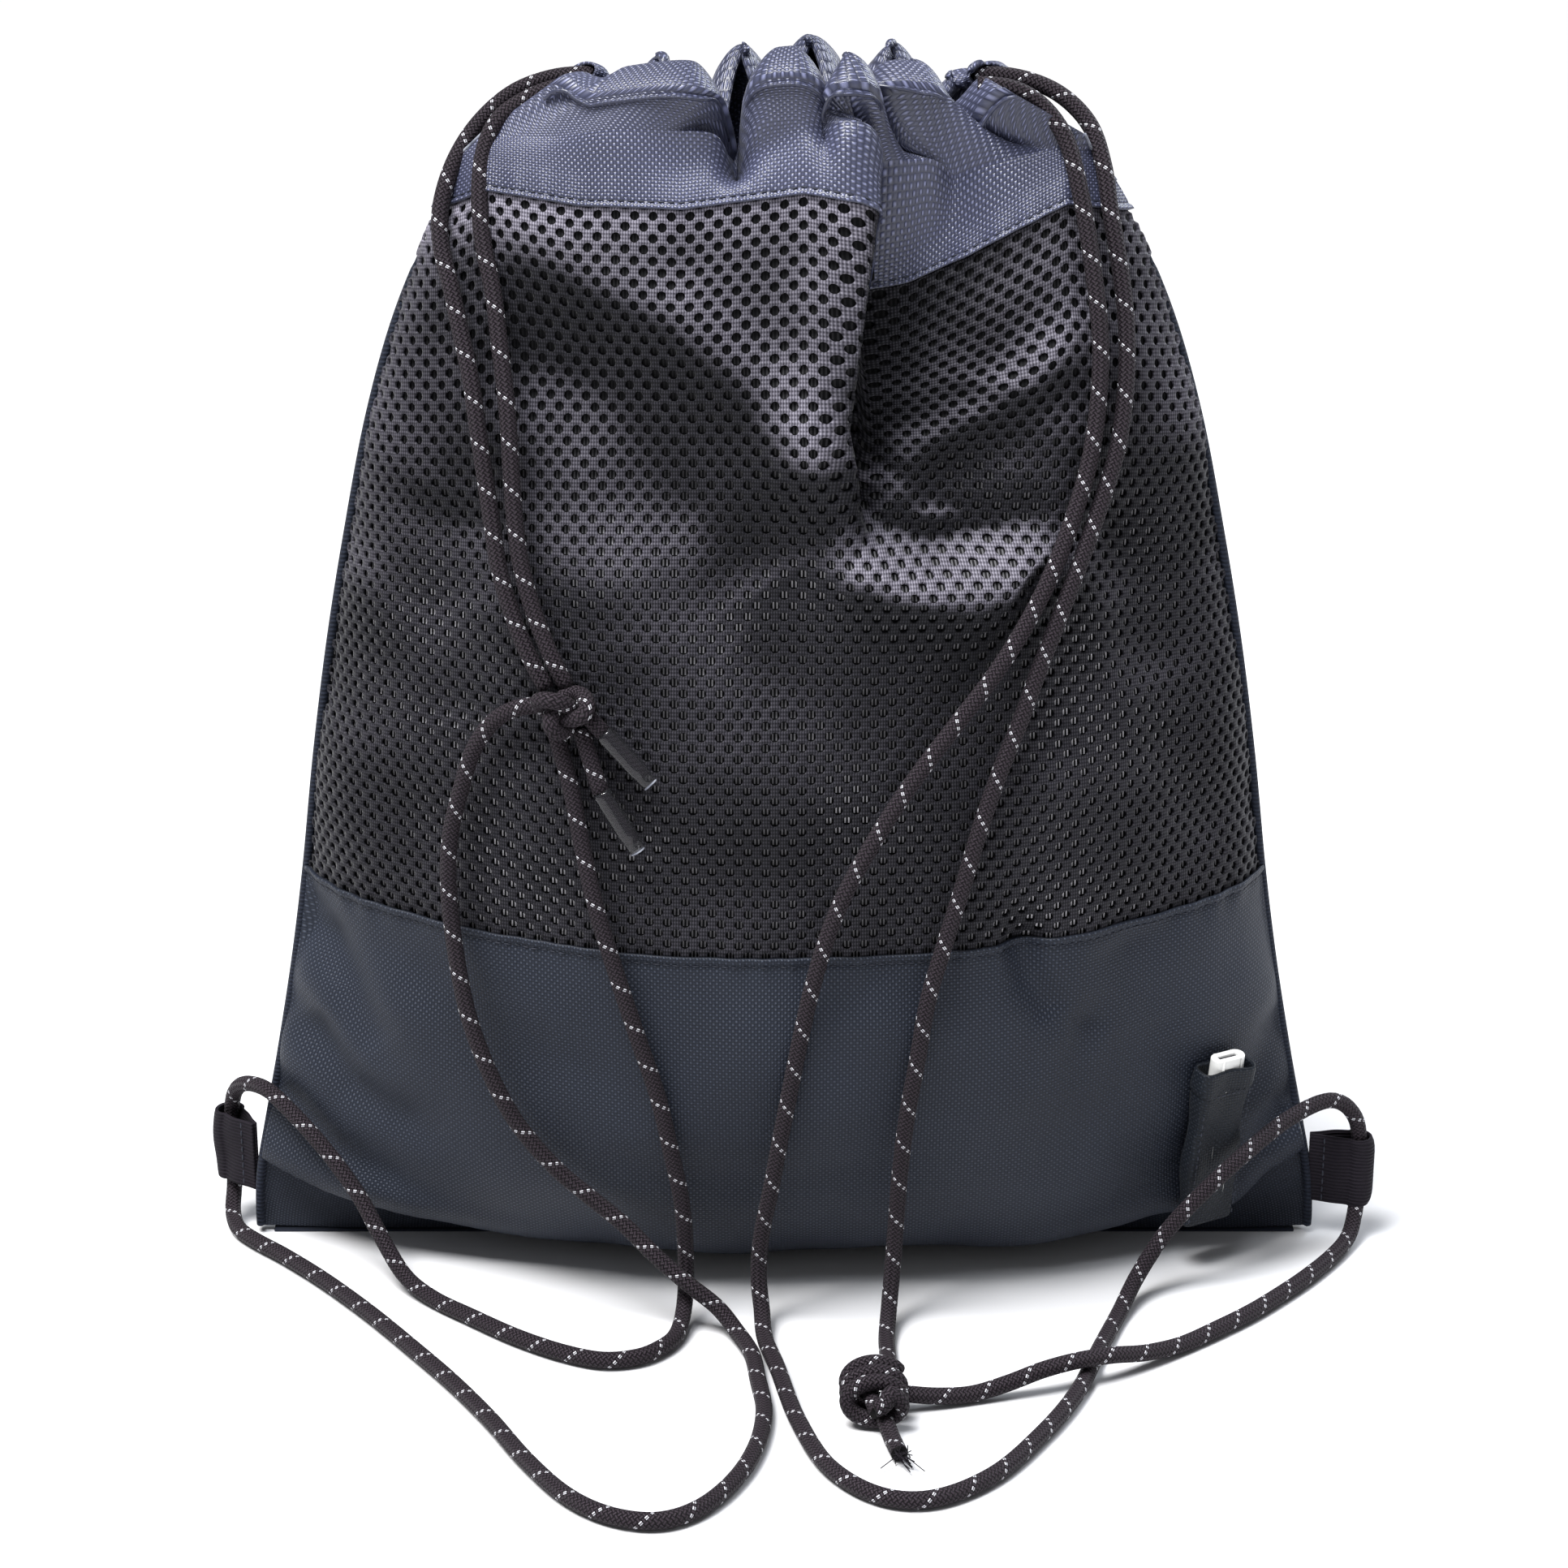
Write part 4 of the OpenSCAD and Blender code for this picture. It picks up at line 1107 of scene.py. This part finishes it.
meshRows = evenRows(seam - 0.1, formSettings["topSeam"] + 0.1, 110)
meshBackFace = makeGrid("frontMeshBackFace", -1, aFull, meshRows, meshBackOff, meshBack, 0.0006)
bendWithCollar(meshBackFace)
print("mesh panel ready")

bindingSettings = {"half": 0.0030, "flatness": 0.55, "sides": 12, "steps": 140}


def makeBinding(name, end, s):
    v = np.linspace(0.15, formSettings["topSeam"] + 0.6, s["steps"])
    line = plainForm(np.full(len(v), float(end)), v, -1)
    line[:, 1] = 0
    bm = bmesh.new()
    tubeAlong(bm, line, s["half"], s["sides"])
    for vert in bm.verts:  # flattened from a round cord to a folded tape
        i = int(np.argmin(np.abs(line[:, 2] - vert.co.z)))
        vert.co.x = line[i, 0] + (vert.co.x - line[i, 0]) * s["flatness"]
    bmesh.ops.recalc_face_normals(bm, faces=bm.faces)
    piece = linkMesh(name, bm, bindingTape)
    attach(piece, "bag")
    return piece


leftBinding = makeBinding("leftSideBinding", -1, bindingSettings)
rightBinding = makeBinding("rightSideBinding", 1, bindingSettings)
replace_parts(leftBinding, "left_side_binding")
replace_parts(rightBinding, "right_side_binding")


def makeBottomTape():
    low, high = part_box("bottom_seam_tape")
    bm = bmesh.new()
    addBox(bm, Matrix.Translation((low + high) / 2), high - low)
    roundEdges(bm, bm.edges[:], 0.0004, 2)
    piece = linkMesh("bottomSeamTape", bm, bindingTape)
    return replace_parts(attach(piece, "bag"), "bottom_seam_tape")


makeBottomTape()
print("bindings ready")

stitchSettings = {"pitch": 0.0030, "length": 0.0022, "radius": 0.00024}


def makeStitches(name, side, v, off, reachA, s):
    row = int(round(v / formSettings["rim"] * (formSettings["rows"] - 1)))
    reach = min(-forms[side]["arc"][row][0], forms[side]["arc"][row][-1]) * reachA
    count = int(reach / s["pitch"])
    across = np.arange(-count, count + 1) * s["pitch"]
    a = seamLine(side, across, v)
    ahead = seamLine(side, across + s["pitch"] * 0.3, v)
    places, aheads = onBag(side, a, np.full(len(a), v), off), onBag(side, ahead, np.full(len(a), v), off)
    bm = bmesh.new()
    for p, q in zip(places, aheads):
        turn = (Vector(q) - Vector(p)).to_track_quat("Z", "Y").to_matrix().to_4x4()
        addStitch(bm, Matrix.Translation(p) @ turn, (s["radius"], s["radius"], s["length"] / 2))
    piece = linkMesh(name, bm, thread)
    return piece


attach(makeStitches("baseSeamStitches", -1, seam - 0.035, 0.0004, 0.97, stitchSettings), "bag")
topStitchV = formSettings["topSeam"] + 0.03
bendWithCollar(makeStitches("topSeamStitches", -1, topStitchV, 0.0004, 0.93, stitchSettings))
print("stitches ready")

tabSettings = {
    "left": {"root": (-0.175, 0.0003, 0.015), "turn": 130},
    "right": {"root": (0.174, -0.001, 0.012), "turn": -6},
    "loop": 0.00455, "reach": 0.0159, "width": 0.024, "thickness": 0.0010, "steps": 14,
}


def makeTab(name, node, place, s):
    turn = Matrix.Translation(place["root"]) @ Matrix.Rotation(math.radians(place["turn"]), 4, "Z")
    line = [(-0.0005, -0.00055), (0.003, -0.0013), (0.008, -0.0028)]
    for k in range(-70, 71, 10):  # round loop about the cord
        angle = math.radians(k * 1.9)
        line.append((s["reach"] + s["loop"] * math.cos(angle), s["loop"] * math.sin(angle)))
    line += [(0.008, 0.0028), (0.003, 0.0013), (-0.0005, 0.00055)]
    outline = curvePoints([(p[0], p[1], 0) for p in line], 4)
    bm = bmesh.new()
    first = [bm.verts.new(p) for p in outline]
    edges = [bm.edges.new(pair) for pair in zip(first[:-1], first[1:])]
    for k in range(s["steps"]):
        made = bmesh.ops.extrude_edge_only(bm, edges=edges)["geom"]
        fresh = [g for g in made if isinstance(g, bmesh.types.BMVert)]
        bmesh.ops.translate(bm, verts=fresh, vec=(0, 0, s["width"] / s["steps"]))
        edges = [g for g in made if isinstance(g, bmesh.types.BMEdge) and all(v in fresh for v in g.verts)]
    for v in bm.verts:  # the tape bows a little and its corners soften
        h = v.co.z / s["width"] - 0.5
        v.co.y += 0.0004 * math.sin(v.co.z * 300 + v.co.x * 200) * min(v.co.x / 0.01, 1)
        v.co.x -= 0.0012 * (2 * abs(h)) ** 6 * max(v.co.x / 0.02, 0)
    bmesh.ops.transform(bm, matrix=turn, verts=bm.verts)
    bmesh.ops.recalc_face_normals(bm, faces=bm.faces)
    piece = linkMesh(name, bm, tabTape)
    addModifier(piece, "SOLIDIFY", thickness=s["thickness"], offset=0.0)
    addModifier(piece, "BEVEL", width=0.0003, segments=2, limit_method="ANGLE")
    makeTabStitches(name, turn)
    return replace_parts(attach(piece, "bag"), node)


def makeTabStitches(name, turn):
    bm = bmesh.new()
    for k in range(8):
        for side in (-1, 1):
            place = Vector((0.0042, side * 0.0023, 0.0018 + k * 0.0029))
            addStitch(bm, turn @ Matrix.Translation(place), (0.0003, 0.00035, 0.0011))
    piece = linkMesh(name + "Stitches", bm, thread)
    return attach(piece, "bag")


makeTab("leftTab", "left_tab", tabSettings["left"], tabSettings)
makeTab("rightTab", "right_tab", tabSettings["right"], tabSettings)
print("tabs ready")

pocketSettings = {
    "place": (0.136, -0.0248, 0.017), "lean": 8, "turn": 30,
    "width": 0.020, "depth": 0.0086, "height": 0.058,
    "wall": 0.0009, "hem": 0.0085, "hemRise": 0.0004, "round": 0.0030, "roundBelow": 0.0015,
}
pocketPlace = (Matrix.Translation(pocketSettings["place"])
               @ Matrix.Rotation(math.radians(pocketSettings["turn"]), 4, "Z")
               @ Matrix.Rotation(math.radians(pocketSettings["lean"]), 4, "X"))


def makePocket(s):
    bm = bmesh.new()
    addBox(bm, Matrix.Translation((0, 0, s["height"] / 2)), (s["width"], s["depth"], s["height"]))
    upright = [e for e in bm.edges if abs(e.verts[0].co.z - e.verts[1].co.z) > s["height"] / 2]
    roundEdges(bm, upright, s["round"], 5)
    base = [e for e in bm.edges if all(v.co.z < 1e-6 for v in e.verts)]
    roundEdges(bm, base, s["roundBelow"], 3)
    for face in list(bm.faces):
        if all(v.co.z > s["height"] - 1e-6 for v in face.verts):
            bm.faces.remove(face)
    for k in range(1, 60):
        bmesh.ops.bisect_plane(bm, geom=bm.verts[:] + bm.edges[:] + bm.faces[:], plane_no=(0, 0, 1),
                               plane_co=(0, 0, s["height"] * k / 60))
    for k in range(1, 12):
        bmesh.ops.bisect_plane(bm, geom=bm.verts[:] + bm.edges[:] + bm.faces[:], plane_no=(1, 0, 0),
                               plane_co=(s["width"] * (k / 12 - 0.5), 0, 0))
    for v in bm.verts:
        down = s["height"] - v.co.z
        out = Vector((v.co.x / s["width"], v.co.y / s["depth"], 0))
        crease = 0.0005 * math.sin(v.co.z * 210 + v.co.x * 300)
        crease += 0.0004 * math.sin(v.co.z * 90 - v.co.x * 500)
        hem = s["hemRise"] * (float(smooth((s["hem"] - down) / 0.001)) - float(bump(down, s["hem"], 0.0006)))
        v.co += out * 2 * (crease * min(v.co.z / 0.01, 1) + hem - s["hemRise"])
    bmesh.ops.recalc_face_normals(bm, faces=bm.faces)
    uvLayer = uvLayerOf(bm)
    for face in bm.faces:
        for loop in face.loops:
            p = loop.vert.co
            flat = p.x if abs(face.normal.y) > 0.5 else p.y + 0.1
            loop[uvLayer].uv = (flat, p.z)
    bmesh.ops.transform(bm, matrix=pocketPlace, verts=bm.verts)
    piece = linkMesh("penPocket", bm, pocketCloth)
    addModifier(piece, "SOLIDIFY", thickness=s["wall"], offset=-1.0)
    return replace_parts(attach(piece, "bag"), "pen_pocket")


makePocket(pocketSettings)


def makePocketStitches(s):
    bm = bmesh.new()
    front, hemHeight = -s["depth"] / 2, s["height"] - s["hem"]
    rows = [((x / 1000, front - 0.0001, hemHeight), 90) for x in range(-8, 9, 2)]
    rows += [((side * 0.0085, front + 0.0003, z / 1000), 0) for side in (-1, 1) for z in range(3, 56, 3)]
    for place, angle in rows:
        spin = Matrix.Rotation(math.radians(angle), 4, "Y")
        addStitch(bm, pocketPlace @ Matrix.Translation(place) @ spin, (0.00022, 0.00022, 0.0008))
    piece = linkMesh("penPocketStitches", bm, thread)
    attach(piece, "bag")


makePocketStitches(pocketSettings)


def softenedCopy(name, node, width, segments, material):  # the CAD piece with its sharp edges rounded
    bm = bmesh.new()
    bm.from_mesh(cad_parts[node].data)
    bmesh.ops.remove_doubles(bm, verts=bm.verts, dist=1e-6)
    bmesh.ops.dissolve_limit(bm, angle_limit=math.radians(1), verts=bm.verts, edges=bm.edges)
    sharp = [e for e in bm.edges if len(e.link_faces) == 2 and e.calc_face_angle(0) > math.radians(50)]
    roundEdges(bm, sharp, width, segments)
    bmesh.ops.recalc_face_normals(bm, faces=bm.faces)
    return linkMesh(name, bm, material)


stick = softenedCopy("pocketStick", "pocket_stick", 0.0005, 3, whitePlastic)
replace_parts(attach(stick, "stick"), "pocket_stick")
slotShadeSettings = {"width": 0.0072, "thickness": 0.0014, "top": 0.0605, "deep": 0.0045, "across": 0.001}


# Painted shade: a dark box set inside the stick's slot, where there is only shade.
def makeSlotPaintedShade(s):
    bm = bmesh.new()
    place = pocketPlace @ Matrix.Translation((s["across"], 0, s["top"] - s["deep"] / 2))
    addBox(bm, place, (s["width"], s["thickness"], s["deep"]))
    roundEdges(bm, bm.edges[:], 0.0002, 2)
    piece = linkMesh("stickSlotPaintedShade", bm, tabTape)
    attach(piece, "stick")


makeSlotPaintedShade(slotShadeSettings)
print("pocket and stick ready")

knotSettings = {
    "left": {"centre": (-0.066, -0.060, 0.203), "size": (0.0070, 0.0034, 0.0056)},
    "right": {"centre": (0.027, -0.1235, 0.0088), "size": (0.0080, 0.0120, 0.0056), "turns": 3.1},
    "radius": 0.00255, "step": 0.0012, "sides": 14,
}


def makeLeftKnot(s):
    place, size = s["left"]["centre"], s["left"]["size"]
    line = []
    for k in range(73):
        t = 2 * math.pi * k / 72
        line.append((place[0] + size[0] * (math.sin(t) + 2 * math.sin(2 * t)) / 2.6,
                     place[1] - size[1] * math.sin(3 * t),
                     place[2] + size[2] * (math.cos(t) - 2 * math.cos(2 * t)) / 2.6))
    piece = makeTube("leftKnot", evenPoints(np.array(line), s["step"]), s["radius"], s["sides"], braid)
    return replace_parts(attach(piece, "bag"), "left_knot")


def makeRightKnot(s):
    place, size, turns = s["right"]["centre"], s["right"]["size"], s["right"]["turns"]
    line = [(0, -0.0125, 0.001), (0.003, -0.0115, 0.002)]
    for k in range(int(turns * 12) + 1):  # wraps round the middle
        angle, along = 2 * math.pi * k / 12 + 0.6, 1.5 * k / (turns * 12) - 0.8
        line.append((size[0] * math.sin(angle), size[1] * along, size[2] * math.cos(angle)))
    line += [(0.002, 0.0095, 0.002), (0.0, 0.004, 0.001), (-0.001, -0.003, 0.0005), (0.001, -0.011, -0.001)]
    points = curvePoints(np.array(line) + np.array(place), 6)
    points[:, 2] = np.maximum(points[:, 2], s["radius"] + 0.0002)
    piece = makeTube("rightKnot", evenPoints(points, s["step"]), s["radius"], s["sides"], braid)
    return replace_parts(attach(piece, "bag"), "right_knot")


aglets = {
    "leftAgletUpper": ((-0.054, -0.060, 0.196), (-0.040, -0.064, 0.181), "left_aglet_upper"),
    "leftAgletLower": ((-0.055, -0.062, 0.178), (-0.044, -0.065, 0.160), "left_aglet_lower"),
}


agletSettings = {
    "profile": [(0, 0.0027), (0.03, 0.0031), (0.72, 0.0031), (0.82, 0.0027), (0.96, 0.0026), (1, 0.0021)],
    "steps": 25, "core": 0.0023, "coreSpan": (0.01, 0.86), "rim": 0.0021, "rimWire": 0.00028,
}


def makeAglet(name, start, finish, node, s):  # a clear tube, pinched near its end, on the cord's end
    start, finish = np.array(start), np.array(finish)
    along = np.linspace(0, 1, s["steps"])
    radius = np.interp(along, *zip(*s["profile"]))
    shell = makeTube(name, start + (finish - start) * along[:, None], radius, 24, clearPlastic)
    coreLine = start + (finish - start) * np.linspace(*s["coreSpan"], 20)[:, None]
    core = makeTube(name + "Core", coreLine, s["core"], 16, tabTape)
    aim = Vector(finish - start).to_track_quat("Z", "Y")
    turns = [k * 0.3 for k in range(22)]
    ring = [Vector(finish) + aim @ Vector((s["rim"] * math.cos(a), s["rim"] * math.sin(a), 0)) for a in turns]
    rim = makeTube(name + "Rim", ring, s["rimWire"], 6, rawThread)
    for piece, slot in ((shell, "clear_plastic"), (core, "cord_braid"), (rim, "clear_plastic")):
        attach(piece, "bag")
    return [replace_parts(shell, node), core, rim]


leftKnot, rightKnot = makeLeftKnot(knotSettings), makeRightKnot(knotSettings)
leftEnds = [leftKnot, cords["leftTailUpper"], cords["leftTailLower"]]
for name, (start, finish, node) in aglets.items():
    leftEnds += makeAglet(name, start, finish, node, agletSettings)


def makeFray():  # loose filaments at the cut end of the right tail
    random = np.random.default_rng(11)
    end = cordLines["rightTail"][-1]
    aim = end - cordLines["rightTail"][-2]
    aim /= np.linalg.norm(aim)
    bm = bmesh.new()
    for _ in range(26):
        spread = random.normal(0, 0.45, 3)
        root = end + random.normal(0, 0.0011, 3) * (1, 0.3, 0.7)
        line = [root - aim * 0.001, root + aim * 0.001]
        line += [root + (aim + spread) * 0.0022, root + (aim + spread * 1.6) * 0.0038]
        points = curvePoints(line, 3)
        points[:, 2] = np.clip(points[:, 2], 0.0004, 0.008)
        tubeAlong(bm, points, 0.00016, 5)
    bmesh.ops.recalc_face_normals(bm, faces=bm.faces)
    piece = linkMesh("rightTailFray", bm, tabTape)
    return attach(piece, "bag")


rightEnds = [rightKnot, cords["rightTail"], makeFray()]
mouthCords = {"leftCordFront": -1, "leftCordBack": 1, "rightCordFront": -1, "rightCordBack": 1}
for name, cord in cords.items():
    if name in mouthCords:
        bendWithCollar(cord)
    else:
        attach(cord, "bag")
print("knots and tips ready")

stageSettings = {
    "size": 60.0, "floor": (0.74, 0.74, 0.75), "world": (0.96, 0.97, 1.0), "worldStrength": 0.22,
}


def makeStage(s):
    bm = bmesh.new()
    bmesh.ops.create_grid(bm, x_segments=1, y_segments=1, size=s["size"] / 2)
    floorMaterial = newMaterial("paleFloor", s["floor"], 0.8, Specular_IOR_Level=0.1)[0]
    floor = linkMesh("floor", bm, floorMaterial, shaded=False)
    world = bpy.data.worlds.new("studio")
    bpy.context.scene.world = world
    world.use_nodes = True
    backdrop = world.node_tree.nodes["Background"]
    backdrop.inputs["Color"].default_value = (*s["world"], 1)
    backdrop.inputs["Strength"].default_value = s["worldStrength"]
    bpy.context.scene.view_settings.view_transform = "Standard"


lights = {  # kind, place, aim, spread, power, color
    "keyLight": ("SUN", (-0.60, -0.30, 1.5), (0, 0, 0.0), 0.45, 4.1, (1.0, 0.99, 0.98)),
    "rimLight": ("AREA", (0.9, 0.7, 1.0), (0, 0, 0.25), 0.7, 12, (0.88, 0.93, 1.0)),
    "topLight": ("AREA", (-0.15, -0.45, 1.25), (0, 0, 0.33), 0.5, 9, (0.92, 0.95, 1.0)),
}


def makeLight(name, kind, place, aim, spread, power, color):
    data = bpy.data.lights.new(name, kind)
    data.energy, data.color = power, color
    if kind == "SUN":
        data.angle = spread
    else:
        data.size = spread
    light = bpy.data.objects.new(name, data)
    bpy.context.collection.objects.link(light)
    light.location = place
    light.rotation_euler = (Vector(aim) - Vector(place)).to_track_quat("-Z", "Y").to_euler()


makeStage(stageSettings)
for name, facts in lights.items():
    makeLight(name, *facts)
print("stage ready")
